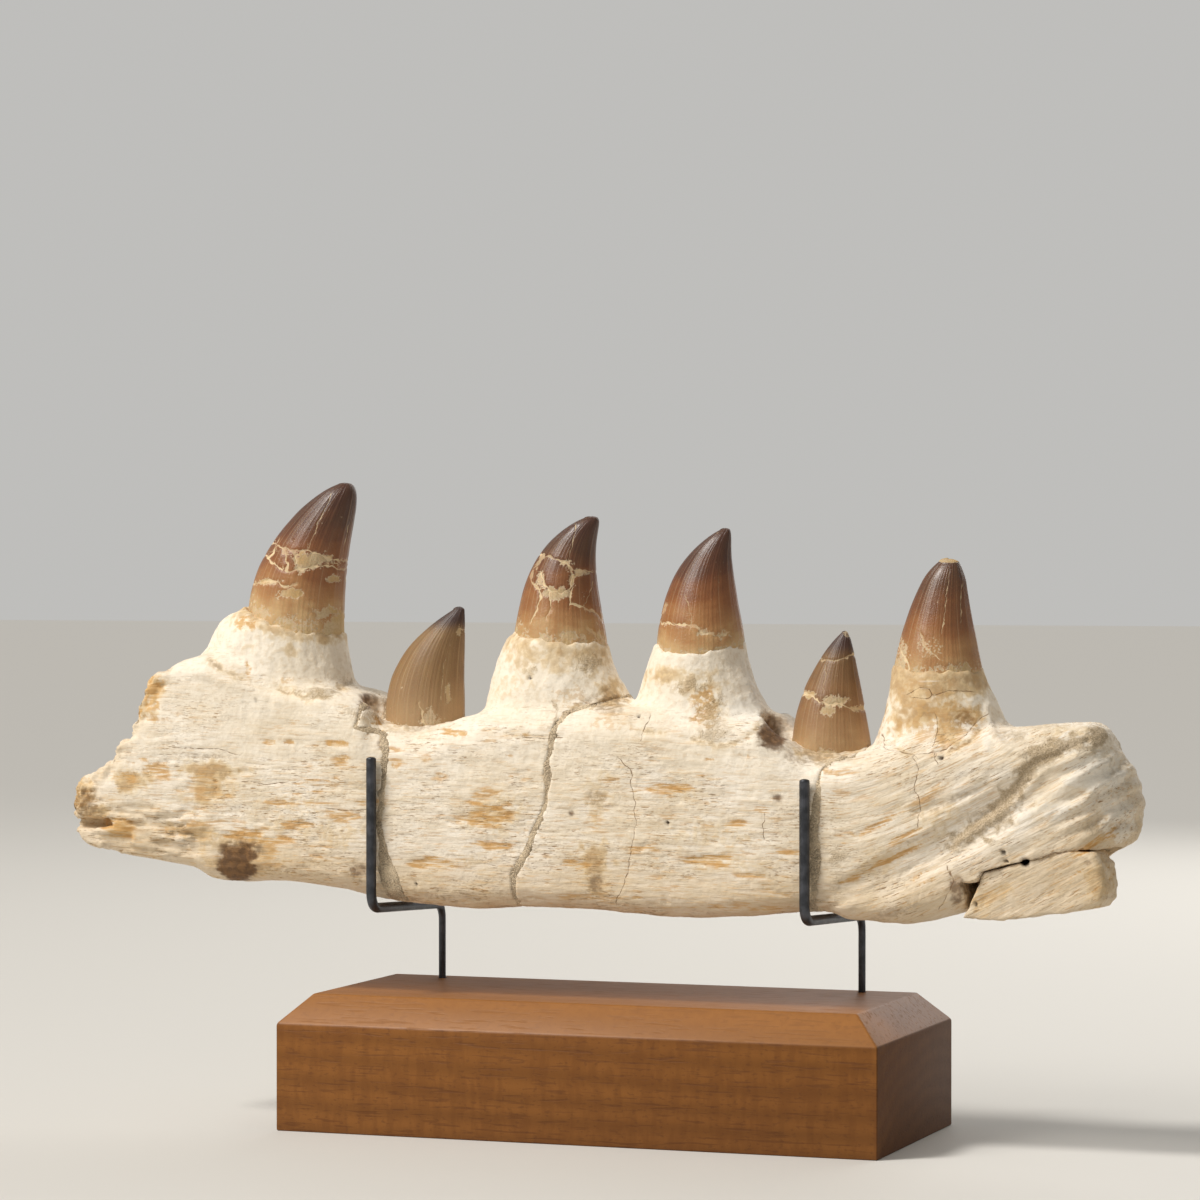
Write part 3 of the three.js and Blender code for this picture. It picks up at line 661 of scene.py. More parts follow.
# Ridges raised along it: (half width, height, points)
RIDGES = [
    (1.2, 0.9, [(150, 158), (152, 150), (156, 145), (163, 142.5)]),
    (2.2, 0.8, [(-154, 168), (-148, 166.5), (-130, 161), (-118, 158), (-104, 156.5)]),
    (1.5, 1.0, [(140, 111), (147, 116), (154, 120.5), (162, 127), (167, 133), (173, 138), (182, 142)]),
    (1.3, 0.6, [(138.6, 108), (145, 113.7), (152.5, 118.6), (160, 124), (164.5, 128.7), (169, 134.6)]),
]
# Hairline cracks
CRACKS = [
    [(14, 138), (17.5, 135), (18, 130), (19.5, 125), (20, 118), (19.5, 110), (18, 103), (16.5, 96),
     (14, 91), (12.5, 87)],
    [(68, 118), (67.6, 115), (68, 112)],
    [(-135, 127.6), (-127, 126.8), (-120, 127.4)],
    [(-100, 118.3), (-94, 117.8), (-87, 118.2)],
    [(-22, 145.8), (-16, 145.2), (-10, 145.6)],
    [(124, 141), (124.6, 136), (123.8, 130), (125.4, 124), (124.6, 118)],
    [(131.6, 140), (131.6, 143.2), (137.1, 145.1), (141.4, 148.4), (148, 154)],
    [(112.1, 146.2), (113.3, 143.2), (119, 142.4), (125.6, 141.9), (131.6, 143.2)],
    [(122.8, 163.2), (125.9, 165), (128.9, 164.4), (130.8, 162.4), (128.3, 160.9), (125.3, 161.4)],
    [(132.6, 162.7), (137.5, 164.2), (144.2, 163.3)],
    [(131, 146), (132, 150), (131.4, 154)],
    [(24.3, 152.2), (22.6, 149.4), (21.8, 146.1)],
    [(-165, 140), (-155, 139.4), (-146, 139.6), (-140, 138)],
    [(134.5, 89), (136.4, 93), (137, 98), (136.2, 101)],
    [(149, 101), (158, 103.6), (168, 106), (175, 108.4), (183, 109.5)],
]
# Where the fibres start to rise towards the back end, how steeply they end up, and over what length
FIBRES_RISE_AT = 96
FIBRES_SLOPE = 0.55
FIBRES_EASE = 26
# Long marks slope with the fibres past this x and below this z
RISING_FROM = 105
RISING_BELOW = 145
RISING_SLOPE = 0.5
# Little open holes: (x, z, radius); each is sunk a little and painted near-black as painted shade inside it
HOLES = [
    (156, 108, 0.7), (157, 105, 0.6), (164, 104.6, 1.3), (133.5, 141, 0.9), (32, 115.8, 0.6),
    (-66, 91, 0.5), (146, 89.5, 0.5), (21, 153.5, 0.5), (-130, 158, 0.5), (-21, 167, 0.7),
    (88, 118.5, 0.4),
]


def on_plane(x, y, z, plane):
    """Where a point of the front half lies on the marks' plane; the back half mirrors the front."""
    y = TOOTH_Y - np.abs(y - TOOTH_Y)
    return x + (SLANT_FROM - x) / SLANT_REACH * (y - plane), z


def lift(x):
    """How far the bone's fibres have risen at x: they run level, then slope up towards the back end."""
    run = np.maximum(x - FIBRES_RISE_AT, 0)
    return FIBRES_SLOPE * run * run / (run + FIBRES_EASE)


def patches(px, pz, ragged, marks, soft=0.75):
    """Soft ragged spots: the strongest of the marks at each point."""
    total = np.zeros(px.shape)
    for x, z, half_x, half_z, strength in marks:
        rising = x > RISING_FROM and z < RISING_BELOW and half_x > 2 * half_z
        slope = RISING_SLOPE if rising else 0
        reach = np.hypot((px - x) / half_x, (pz - z - slope * (px - x)) / half_z)
        total = np.maximum(total, strength * ramp(1.45 - reach + 0.75 * ragged, 0, soft))
    return total


def signed_cracks(px, pz, lines):
    """Signed distance to the nearest of several lines, and a weight that fades away from them."""
    nearest = np.full(px.shape, 9.0)
    signed = np.full(px.shape, 9.0)
    for line in lines:
        for (ax, az), (bx, bz) in zip(line, line[1:]):
            length = math.hypot(bx - ax, bz - az)
            t = ((px - ax) * (bx - ax) + (pz - az) * (bz - az)) / length ** 2
            held = np.clip(t, 0, 1)
            away = np.hypot(px - ax - held * (bx - ax), pz - az - held * (bz - az))
            side = ((px - ax) * (bz - az) - (pz - az) * (bx - ax)) / length
            closer = away < nearest
            nearest = np.where(closer, away, nearest)
            signed = np.where(closer, side, signed)
    return signed, 1 - ramp(nearest, 1.2, 2.4)


def front_share(y):
    """1 on the front half of the bone, 0 on the back half."""
    return 1 - ramp(y, -14, -2)


def bone_marks(points, seed):
    """Stain, relief and fibre layers at the points of a piece of bone, with painted shade low on the front,
    along the underside and in the small holes, and painted light at the right end.
    """
    x, y, z = points.T
    px, pz = on_plane(x, y, z, MARK_PLANE)
    roots = np.min([root_field(tooth, x, y, z) for tooth in TEETH.values()], axis=0)
    chalky = ramp(shaft_field(x, y, z) - roots + 1.5 * noise(x / 9, y / 9, z / 9, seed + 67), -0.5, 3.5)
    across = z - lift(x) * (1 - chalky)
    jagged = layered_noise(x / 4.6, y / 4.6, z / 4.6, seed + 89, 3, 0.7)
    ragged = layered_noise(px / 6, y / 6, (pz - lift(px)) / 1.6, seed + 31)
    ragged = ragged + (0.8 * jagged - ragged) * chalky
    blotchy = layered_noise(x / 3.2, y / 3.2, z / 3.2, seed + 37)
    front = front_share(y)
    dim = 0.25 + 0.75 * front
    streak = ramp(layered_noise(x / 7, y / 5, across / 1.3, seed + 41), 0.2, 0.55)
    field = ramp(layered_noise(x / 26, y / 26, z / 14, seed + 43), -0.15, 0.5)
    on_shaft = 1 - ramp(z, 150, 158)
    ochre = np.maximum(patches(px, pz, 1.2 * ragged, OCHRE) * dim, 0.85 * streak * field * on_shaft)
    brown = patches(px, pz, ragged * 0.6, BROWN, 0.95) * dim
    # Painted shade: a brown band along the bottom edge, where the face turns under, joins the brown stains
    under = ramp(-z - 0.05 * np.abs(x + 75), -92, -86)
    brown = np.maximum(brown, 0.5 * under * ramp(0.4 + ragged, 0.1, 0.7))
    sand = patches(px, pz, blotchy * 0.9, SAND, 1.2) * dim
    broken = layered_noise(px / 9, y / 9, pz / 9, seed + 83, 2)
    for width, strength, line in SAND_SEAMS:
        away = to_line(px, pz, line) / (width * (1 + 0.7 * broken))
        seam = strength * dim * ramp(1.5 - away + 0.9 * blotchy, 0, 1.6)
        sand = np.maximum(sand, seam * ramp(broken, -1.0, -0.2))
    sand = np.maximum(sand, 0.55 * (1 - front) * ramp(blotchy + 0.5 * field, 0.35, 0.75))
    white = patches(px, pz, ragged * 0.8, WHITE) * dim
    crack, weight = signed_cracks(px + 1.7 * jagged, pz + 0.5 * ragged, CRACKS)
    hole = np.zeros(px.shape)
    for hx, hz, radius in HOLES:
        hole = np.maximum(hole, 1 - ramp(np.hypot(px - hx, pz - hz), 0.6 * radius, 1.5 * radius))
    calm = ramp(z + 6 * noise(x / 24, y / 24, z / 12, seed + 97), 124, 142) * (1 - ramp(x, 84, 104))
    worn_smooth = 0.3 + 0.7 * ramp(layered_noise(x / 15, y / 15, z / 7, seed + 101, 2), -0.3, 0.25)
    chalky = np.maximum(chalky, 0.75 * calm * worn_smooth)
    # Painted shade: the front of the bone is darkened towards its bottom, as if lit from above
    low = ramp(bone_bottom(x) + 26 - z + 4 * ragged, 0, 22) * front
    honey = patches(px, pz, 1.1 * jagged, HONEY, 1.3) * dim
    for name, (reach_down, strength) in COLLARS.items():
        tooth = TEETH[name]
        below = neck_height(tooth, x) - z + 3.5 * jagged
        beside = np.abs(x - tooth["x"]) - tooth["half"]
        collar = (1 - ramp(below, 0.6 * reach_down, 1.4 * reach_down)) * (1 - ramp(beside, 1, 6))
        honey = np.maximum(honey, strength * collar * (1 + 0.5 * blotchy))
    for width, _, strength, line in SEAMS:
        away = to_line(px, pz, line) / (2.2 * width)
        worn = dim * ramp(broken, -0.5, 0.25)
        honey = np.maximum(honey, 1.4 * strength * worn * ramp(1.3 - away + 0.6 * jagged, 0, 1.2))
        brown = np.maximum(brown, strength * worn * ramp(0.8 - away + 0.6 * jagged, 0, 1.0))
    return {
        "stain": np.stack([ochre, brown, sand, white], axis=1),
        "lines": np.stack([crack, weight * front, hole * front, chalky], axis=1),
        "fibre": np.stack([x, y, across], axis=1),
        "shade": np.stack([low, streak * field, torn_ends(x, z, points * 0), honey], axis=1),
    }


def torn_ends(x, z, normal):
    """How much a place belongs to a broken end of the jaw."""
    left = ramp(-x + 0.9 * (z - 121) * (z < 121), 190, 202)
    left = np.maximum(left, ramp(-x, 160, 172) * ramp(z - 1.35 * (x + 208), 101, 111))
    right = 0.25 * ramp(x, 184, 197)
    cut = ramp(np.abs(normal[:, 0]), 0.45, 0.8) * (ramp(-x, 150, 170) + 0.25 * ramp(x, 150, 170))
    return np.clip(np.maximum(np.maximum(left, right), cut), 0, 1)


def bone_relief(points, normal, marks, depth, fibre_depth, seed):
    """Height over the plain field, in millimetres."""
    x, y, z = points.T
    px, pz = on_plane(x, y, z, MARK_PLANE)
    across = marks["fibre"][:, 2]
    sand = marks["stain"][:, 2]
    front = front_share(y)
    dim = 0.35 + 0.65 * front
    chalky = marks["lines"][:, 3]
    on_shaft = 1 - 0.85 * chalky
    height = depth * 0.9 * layered_noise(x / 26, y / 18, z / 18, seed, 2)
    height += depth * 0.35 * layered_noise(x / 9, y / 6, across / 4.5, seed + 5, 2)
    fibres = layered_noise(x / 13, y / 2.4, across / 2.1, seed + 11, 2)
    height += fibre_depth * (0.9 + 0.9 * ramp(x, 95, 125)) * fibres * on_shaft * (1 - 0.7 * sand)
    pits = ramp(layered_noise(x / 4.6, y / 2.6, across / 1.5, seed + 23, 2), 0.28, 0.6)
    height -= 0.42 * pits * on_shaft * ramp(layered_noise(x / 30, y / 30, z / 20, seed + 29, 2), -0.4, 0.3)
    height -= 0.30 * ramp(marks["stain"][:, 0], 0.3, 0.9)
    height -= 0.35 * marks["stain"][:, 1]
    height += 0.30 * ramp(marks["stain"][:, 3], 0.2, 0.7)
    height += sand * (0.2 + 0.2 * layered_noise(x / 1.7, y / 1.7, z / 1.7, seed + 47, 2))
    torn = torn_ends(x, z, normal)
    height += torn * 1.9 * (layered_noise(x / 6.5, y / 5, z / 4.5, seed + 53, 3) - 0.25)
    crease = np.abs(layered_noise(x / 5, y / 7, z / 3.2, seed + 57, 3))
    height += torn * 2.2 * (0.22 - crease)
    height += 0.5 * chalky * layered_noise(x / 7, y / 7, z / 9, seed + 79, 3)
    height += 0.2 * chalky * layered_noise(x / 2.1, y / 2.1, z / 13, seed + 91, 2)
    flaky = ramp(-x, 146, 156) * ramp(x, -203, -190) * ramp(z, 97, 102) * (1 - ramp(z, 113, 121))
    flaky = flaky * front
    ledge = layered_noise(x / 11, y / 4, z / 2.4, seed + 59, 3)
    height += flaky * (1.7 * ramp(ledge, -0.15, 0.12) - 1.1)
    fluted = ramp(x, 168, 182) * ramp(z, 112, 117) * (1 - ramp(z, 138, 147))
    phase = (pz - 0.52 * px) / 1.2 + 2.2 * noise(px / 14, y / 9, pz / 9, seed + 61)
    height += fluted * front * 0.6 * np.sin(phase)
    seams = [(width, deep, line) for width, deep, _, line in SEAMS]
    wander = 1.2 * noise(px / 5, y / 5, pz / 5, seed + 93)
    worn = 0.35 + 0.65 * ramp(noise(px / 8, y / 8, pz / 8, seed + 95), -0.5, 0.4)
    for width, deep, line in GROOVES + seams:
        away = to_line(px + wander, pz + wander, line)
        height -= dim * deep * worn * np.exp(-(away / width) ** 2)
    for width, tall, line in RIDGES:
        height += dim * tall * np.exp(-(to_line(px, pz, line) / width) ** 2)
    crack, weight = marks["lines"][:, 0], marks["lines"][:, 1]
    height -= 0.16 * weight * np.exp(-(crack / 0.5) ** 2)
    height -= 1.1 * marks["lines"][:, 2]
    return height


# ---------------------------------------------------------------------------
# Crowns
# ---------------------------------------------------------------------------

# Rings that round off a blunt tip or a broken one: (scale, rise)
TIP_DOME = [(0.94, 0.3), (0.8, 0.56), (0.6, 0.78), (0.35, 0.93), (0.15, 0.99)]
# How far the broken crown's end bulges, in millimetres
BROKEN_RISE = 1.5
# Height share where the broken crown starts to round off, and the share where it would close
BROKEN_DOME = (0.66, 0.215)
# How far the bone-coloured patches climb from the neck line, in millimetres
CROWN_FADE = {"tooth_1": 10, "tooth_2": 3, "tooth_3": 9, "tooth_4": 3, "tooth_5": 3.5, "tooth_6": 7.5}
# (how dull and olive, how much darker) for each crown
CROWN_TONES = {
    "tooth_1": (0.05, 0.0), "tooth_2": (0.9, 0.0), "tooth_3": (0.1, 0.04), "tooth_4": (0.0, 0.04),
    "tooth_5": (0.6, 0.02), "tooth_6": (0.12, 0.08),
}
CROWN_CRACKS = {
    "tooth_1": [
        [(-134, 216.5), (-130.5, 215), (-125.7, 213.3), (-120.9, 214), (-115.4, 212.7), (-112, 210.4),
         (-103, 209.5)],
        [(-138, 212), (-131.9, 207.7), (-127, 205.8), (-123, 206.4), (-117.5, 207.7), (-112, 208.3),
         (-103, 206)],
        [(-132.6, 216.8), (-134, 213), (-136, 211.2)],
        [(-129.9, 214.8), (-128.5, 206.6)],
        [(-125.7, 213), (-123.7, 206.6)],
        [(-141, 201.5), (-134, 202), (-130, 200.6), (-126, 201)],
    ],
    "tooth_2": [[(-74, 156), (-73.4, 151), (-71, 147)]],
    "tooth_3": [
        [(-27, 212.6), (-21.5, 211), (-17.6, 209.6), (-14.3, 207.5), (-11.7, 205.9), (-6.5, 205.9)],
        [(-25.1, 212), (-28.8, 206.5), (-30.1, 203.4), (-27.5, 200.3), (-25.5, 197.9)],
        [(-25.5, 204.6), (-24.8, 200.9), (-22.2, 199.1), (-18.3, 197.9), (-15, 199.1), (-13.7, 203.4),
         (-14.3, 207)],
        [(-13.7, 199.1), (-14.1, 195.4), (-14.3, 193.6), (-10.4, 193), (-5.2, 191.2), (-1.9, 188.7)],
        [(-25.5, 197.9), (-27.5, 192.3), (-29.4, 188.6)],
        [(-22.2, 197.9), (-21.9, 192.9), (-23.3, 190.2)],
        [(-6.5, 184.5), (-4.5, 182.6), (-3, 179.5)],
    ],
    "tooth_4": [
        [(20, 187.4), (27.2, 187), (31.7, 186.5), (34.9, 185.9), (37.5, 183.7), (43.9, 182.9),
         (46, 183.5)],
        [(22.5, 193), (20.8, 189.5)],
    ],
    "tooth_5": [
        [(80.5, 175), (86.9, 173.8), (90.6, 174.7), (95, 176.3), (97, 177)],
        [(72, 163.4), (78.7, 161.2), (81.9, 159), (84.4, 157.9), (89.4, 158.5), (94.4, 156.8),
         (102, 156.4)],
    ],
    "tooth_6": [[(112, 178), (114.5, 173), (114, 168)], [(120, 183), (121.5, 178.5), (125, 176)]],
}
# Finer cracks than those, and how many times finer
CROWN_HAIRS = {
    "tooth_1": [[(-111, 233), (-112.6, 229), (-116, 222.8), (-119.6, 214.6)],
                [(-103.5, 222), (-105, 215)]],
    "tooth_2": [[(-64, 172), (-65.5, 160)]],
    "tooth_3": [[(-12.5, 222), (-13.6, 215), (-15.4, 209)], [(-6, 200), (-8.2, 194)]],
    "tooth_4": [[(31, 196), (33, 190), (32.4, 186.4)]],
    "tooth_5": [[(84, 171), (83, 164)]],
    "tooth_6": [[(130, 205), (128.6, 194), (127.4, 186)], [(134.5, 200), (134, 190)]],
}
HAIR_FINENESS = 3.2
# Matrix left on the enamel: (x, z, half length, half height, strength)
CROWN_CHIPS = {
    "tooth_1": [(-118.5, 210.4, 7.5, 2.6, 1), (-136.8, 201.8, 4.2, 1.2, 1), (-127, 197.4, 4.4, 2, 1),
                (-109.3, 203.3, 2.6, 1.4, 0.9), (-108, 185, 6, 5.5, 1.2), (-113, 190, 4, 2, 0.9),
                (-139.5, 190, 4, 2.6, 0.7), (-124, 187, 9, 3, 0.55), (-123, 207, 2.4, 2, 0.8)],
    "tooth_2": [(-70, 151, 4, 3, 0.7), (-62.7, 160.5, 0.9, 3, 0.8), (-58, 184, 1.2, 1.6, 0.8)],
    "tooth_3": [(-19.3, 198.2, 4.4, 2, 0.9), (-10.4, 205.6, 3.4, 1.1, 0.85), (-26, 202.5, 1.6, 2.8, 0.85),
                (-15, 182.3, 4, 2.6, 0.8), (-13.6, 203, 1.3, 3.4, 0.9), (-16, 209, 3.4, 1, 0.8)],
    "tooth_4": [(37.5, 184, 2.2, 1.2, 0.7), (24, 187, 2.4, 0.8, 0.6), (44.5, 183, 2.6, 1.4, 0.6)],
    "tooth_5": [(87.5, 159.3, 4, 2, 1), (85.4, 156.2, 2.8, 2, 1), (77.6, 162, 2.4, 1.2, 1),
                (92.3, 184, 1.4, 1.4, 0.7), (97, 157, 2.6, 1, 0.8)],
    "tooth_6": [(112.5, 172, 2.4, 8, 0.8), (122.9, 179.2, 4, 3.2, 0.35), (126.6, 167, 4.4, 1.6, 0.7)],
}


def crown_rings(name, tooth, spacing):
    """Rings of (height share, scale, rise) from the buried foot to the tip."""
    steps = int(tooth["height"] / spacing)
    rise = BROKEN_RISE if "broken_at" in tooth else 0.8 * TIP_HALF[name]
    top = tooth.get("broken_at", tooth["neck"] + tooth["height"])
    last = (top - rise - tooth["neck"]) / tooth["height"]
    shares = [-0.05, -0.025] + [last * (1 - (1 - i / steps) ** 1.25) for i in range(steps + 1)]
    rings = [(share, 1.0, 0.0) for share in shares]
    rings += [(last, scale, rise * up) for scale, up in TIP_DOME]
    return rings


def crown_mesh(name, tooth, spacing, ridge_depth, crack_depth, seed):
    """Points, quads and colour layers of one crown."""
    sides = int(2 * math.pi * tooth["half"] / spacing)
    angle = np.arange(sides) * 2 * math.pi / sides
    cos, sin = np.cos(angle), np.sin(angle)
    rows, shares, caps = [], [], []
    for share, scale, rise in crown_rings(name, tooth, spacing):
        s = min(max(share, 0), 1)
        half = tooth["half"] * (1 - s ** tooth["taper"]) ** (1 / tooth["blunt"])
        half = math.hypot(half, TIP_HALF[name] * float(ramp(s, 0.75, 1))) * scale
        if "broken_at" in tooth:
            half *= math.sqrt(1 - (max(s - BROKEN_DOME[0], 0) / BROKEN_DOME[1]) ** 2)
        hub = tooth["x"] + tooth["lean"] * s ** tooth["sweep"]
        lens = 1 - 0.05 * cos ** 4
        keel = 1 + 0.014 * np.exp(-(sin / 0.1) ** 2) * ramp(1 - s, 0, 0.2)
        line = 0.5 * tooth["seam"] * cos + tooth["sag"] * sin ** 2
        height = tooth["neck"] + share * tooth["height"] - (1 - s) * line + rise
        along, deep = half * cos * keel, tooth["deep"] * half * sin * lens
        rows.append(np.stack([hub + along, TOOTH_Y + deep, height], axis=1))
        shares.append(np.full(sides, share))
        caps.append(np.full(sides, 1.0 if rise and "broken_at" in tooth else 0.0))
    grid = np.stack(rows)
    up = np.gradient(grid, axis=0)
    around = np.roll(grid, -1, axis=1) - np.roll(grid, 1, axis=1)
    normal = np.cross(around, up)
    normal /= np.maximum(np.linalg.norm(normal, axis=2, keepdims=True), 1e-9)
    points, normal = grid.reshape(-1, 3), normal.reshape(-1, 3)
    share, cap = np.concatenate(shares), np.concatenate(caps)
    x, y, z = points.T
    wide = np.tile(angle, len(rows))
    px, pz = on_plane(x, y, z, CROWN_PLANE)
    jitter = layered_noise(x / 2.2, y / 2.2, z / 2.2, seed)
    jitter_2 = layered_noise(x / 2.2, y / 2.2, z / 2.2, seed + 9)
    crack, weight = signed_cracks(px + 1.1 * jitter, pz + 1.1 * jitter_2, CROWN_CRACKS[name])
    hair, hair_weight = signed_cracks(px + 0.8 * jitter, pz + 0.8 * jitter_2, CROWN_HAIRS[name])
    finer = np.abs(hair) * HAIR_FINENESS < np.abs(crack)
    crack = np.where(finer, hair * HAIR_FINENESS, crack)
    weight = np.where(finer, 0.75 * hair_weight, weight)
    fine_jitter = layered_noise(x / 0.9, y / 0.9, z / 0.9, seed + 12, 2)
    chips = patches(px, pz, jitter * 1.2 + 0.5 * fine_jitter, CROWN_CHIPS[name])
    near_neck = 1 - ramp(z - neck_height(tooth, x), 0, CROWN_FADE[name])
    chips = np.maximum(chips, 0.9 * ramp(near_neck + 1.1 * jitter + 0.4 * fine_jitter, 0.5, 1.3))
    chips = np.maximum(chips, cap)
    combed = np.stack([np.cos(wide), np.sin(wide), share * 0.35], axis=1)
    stria = layered_noise(combed[:, 0] * 9, combed[:, 1] * 9, combed[:, 2] * 3, seed + 3, 2)
    facets = layered_noise(combed[:, 0] * 2.2, combed[:, 1] * 2.2, combed[:, 2] * 2, seed + 4, 2)
    height = ridge_depth * (stria + 1.6 * facets) * ramp(share, -0.02, 0.15) * (1 - cap)
    height -= crack_depth * weight * np.exp(-(crack / 0.55) ** 2)
    height -= 0.20 * ramp(chips, 0.35, 0.6) * (1 - cap)
    height += 0.12 * cap * jitter
    height += 0.25 * layered_noise(x / 12, y / 12, z / 12, seed + 6, 2) * ramp(1 - share, 0, 0.3)
    points = points + normal * height[:, None]
    number = np.arange(len(points)).reshape(len(rows), sides)
    right = np.roll(number, -1, axis=1)
    quads = np.stack([number[:-1], right[:-1], right[1:], number[1:]], axis=-1).reshape(-1, 4)
    foot, tip = len(points), len(points) + 1
    points = np.concatenate([points, [points[:sides].mean(axis=0)], [points[-sides:].mean(axis=0)]])
    first, last = number[0], number[-1]
    fans = np.concatenate([
        np.stack([np.full(sides, foot), np.roll(first, -1), first], axis=1),
        np.stack([np.full(sides, tip), last, np.roll(last, -1)], axis=1),
    ])

    def closed(values):
        return np.concatenate([values, values[:1], values[-1:]])

    layers = {
        "enamel": np.stack([closed(share), closed(crack), closed(weight), closed(chips)], axis=1),
        "comb": closed(combed),
    }
    return points, [quads, fans], layers


# ---------------------------------------------------------------------------
# Shader helpers
# ---------------------------------------------------------------------------

def paint(red, green, blue):
    """A colour given as 0 to 255 on screen, as linear light."""
    channels = []
    for value in (red, green, blue):
        share = value / 255
        channels.append(share / 12.92 if share <= 0.04045 else ((share + 0.055) / 1.055) ** 2.4)
    return (*channels, 1.0)


def fill(tree, node, inputs):
    """Gives inputs of a node their values or links."""
    for key, value in inputs.items():
        if isinstance(value, bpy.types.NodeSocket):
            tree.links.new(value, node.inputs[key])
        else:
            node.inputs[key].default_value = value


def add_node(tree, kind, inputs=None, **settings):
    """A node with its settings and the values or links of its inputs."""
    made = tree.nodes.new(kind)
    for key, value in settings.items():
        setattr(made, key, value)
    fill(tree, made, inputs or {})
    return made


def calc(tree, operation, first, second=0.0, clamp=True):
    """A sum on two values, held between 0 and 1 unless clamp is off."""
    inputs = {0: first, 1: second}
    return add_node(tree, "ShaderNodeMath", inputs, operation=operation, use_clamp=clamp).outputs[0]


def times(tree, first, second, clamp=True):
    """Two values multiplied."""
    return calc(tree, "MULTIPLY", first, second, clamp)


def plus(tree, first, second, clamp=True):
    """Two values added."""
    return calc(tree, "ADD", first, second, clamp)


def minus(tree, first, second, clamp=True):
    """One value less another."""
    return calc(tree, "SUBTRACT", first, second, clamp)


def reach(tree, value, low, high, bottom=0.0, top=1.0):
    """Value rising smoothly from bottom at low to top at high."""
    made = add_node(tree, "ShaderNodeMapRange", {"Value": value, 1: low, 2: high, 3: bottom, 4: top},
                    interpolation_type="SMOOTHSTEP")
    return made.outputs[0]


def frayed(tree, amount, pattern, spread=0.7, soft=0.32):
    """A soft painted amount with its edge broken up by a pattern from 0 to 1."""
    torn = plus(tree, amount, times(tree, pattern, spread), clamp=False)
    return reach(tree, torn, 0.46 - soft / 2 + spread / 2, 0.46 + soft / 2 + spread / 2)


def weighted(tree, amount, edge, most):
    """A frayed patch that is also fainter where little was painted."""
    return times(tree, edge, reach(tree, amount, 0.2, 1.0, 0.3 * most, most))


def mixed(tree, factor, first, second):
    """Two colours mixed by a factor."""
    inputs = {"Factor": factor, 6: first, 7: second}
    return add_node(tree, "ShaderNodeMix", inputs, data_type="RGBA").outputs[2]


def tinted(tree, colour, amount, share, shade):
    """A colour drawn towards a shade by a share of an amount."""
    return mixed(tree, times(tree, amount, share), colour, paint(*shade))


def stretched(tree, vector, scale):
    """A vector scaled along each axis."""
    return add_node(tree, "ShaderNodeMapping", {"Vector": vector, "Scale": scale}).outputs["Vector"]


def layer(tree, name):
    """The four channels of a painted layer."""
    attribute = add_node(tree, "ShaderNodeAttribute", attribute_name=name)
    split = add_node(tree, "ShaderNodeSeparateColor", {"Color": attribute.outputs["Color"]})
    return (*split.outputs[:3], attribute.outputs["Alpha"], attribute.outputs["Vector"])


def speckle_group():
    """Noise cut to a band, shared by every material."""
    tree = bpy.data.node_groups.new("Speckle", "ShaderNodeTree")
    tree.interface.new_socket("Vector", in_out="INPUT", socket_type="NodeSocketVector")
    for name in ("Scale", "Detail", "Low", "High"):
        tree.interface.new_socket(name, in_out="INPUT", socket_type="NodeSocketFloat")
    tree.interface.new_socket("Factor", in_out="OUTPUT", socket_type="NodeSocketFloat")
    source = tree.nodes.new("NodeGroupInput").outputs
    inputs = {key: source[key] for key in ("Vector", "Scale", "Detail")}
    noise_node = add_node(tree, "ShaderNodeTexNoise", inputs)
    band = reach(tree, noise_node.outputs[0], source["Low"], source["High"])
    add_node(tree, "NodeGroupOutput", {"Factor": band})
    return tree


def speckle(tree, group, vector, scale, low=0.4, high=0.6, detail=3.0):
    """The shared noise on a vector, at one scale or at one for each axis."""
    if isinstance(scale, tuple):
        vector, scale = stretched(tree, vector, scale), 1.0
    inputs = {"Vector": vector, "Scale": scale, "Detail": detail, "Low": low, "High": high}
    return add_node(tree, "ShaderNodeGroup", inputs, node_tree=group).outputs["Factor"]


def new_material(name, look_colour):
    """A fresh material with its tree, its Principled shader and its object coordinates."""
    material = bpy.data.materials.new(name)
    material.use_nodes = True
    material.diffuse_color = look_colour
    tree = material.node_tree
    place = add_node(tree, "ShaderNodeTexCoord").outputs["Object"]
    return material, tree, tree.nodes["Principled BSDF"], place


def bumped(tree, shader, height, distance, strength=1.0):
    """Puts a bump from a height on a shader."""
    bump = add_node(tree, "ShaderNodeBump", {"Height": height, "Distance": distance, "Strength": strength})
    tree.links.new(bump.outputs["Normal"], shader.inputs["Normal"])


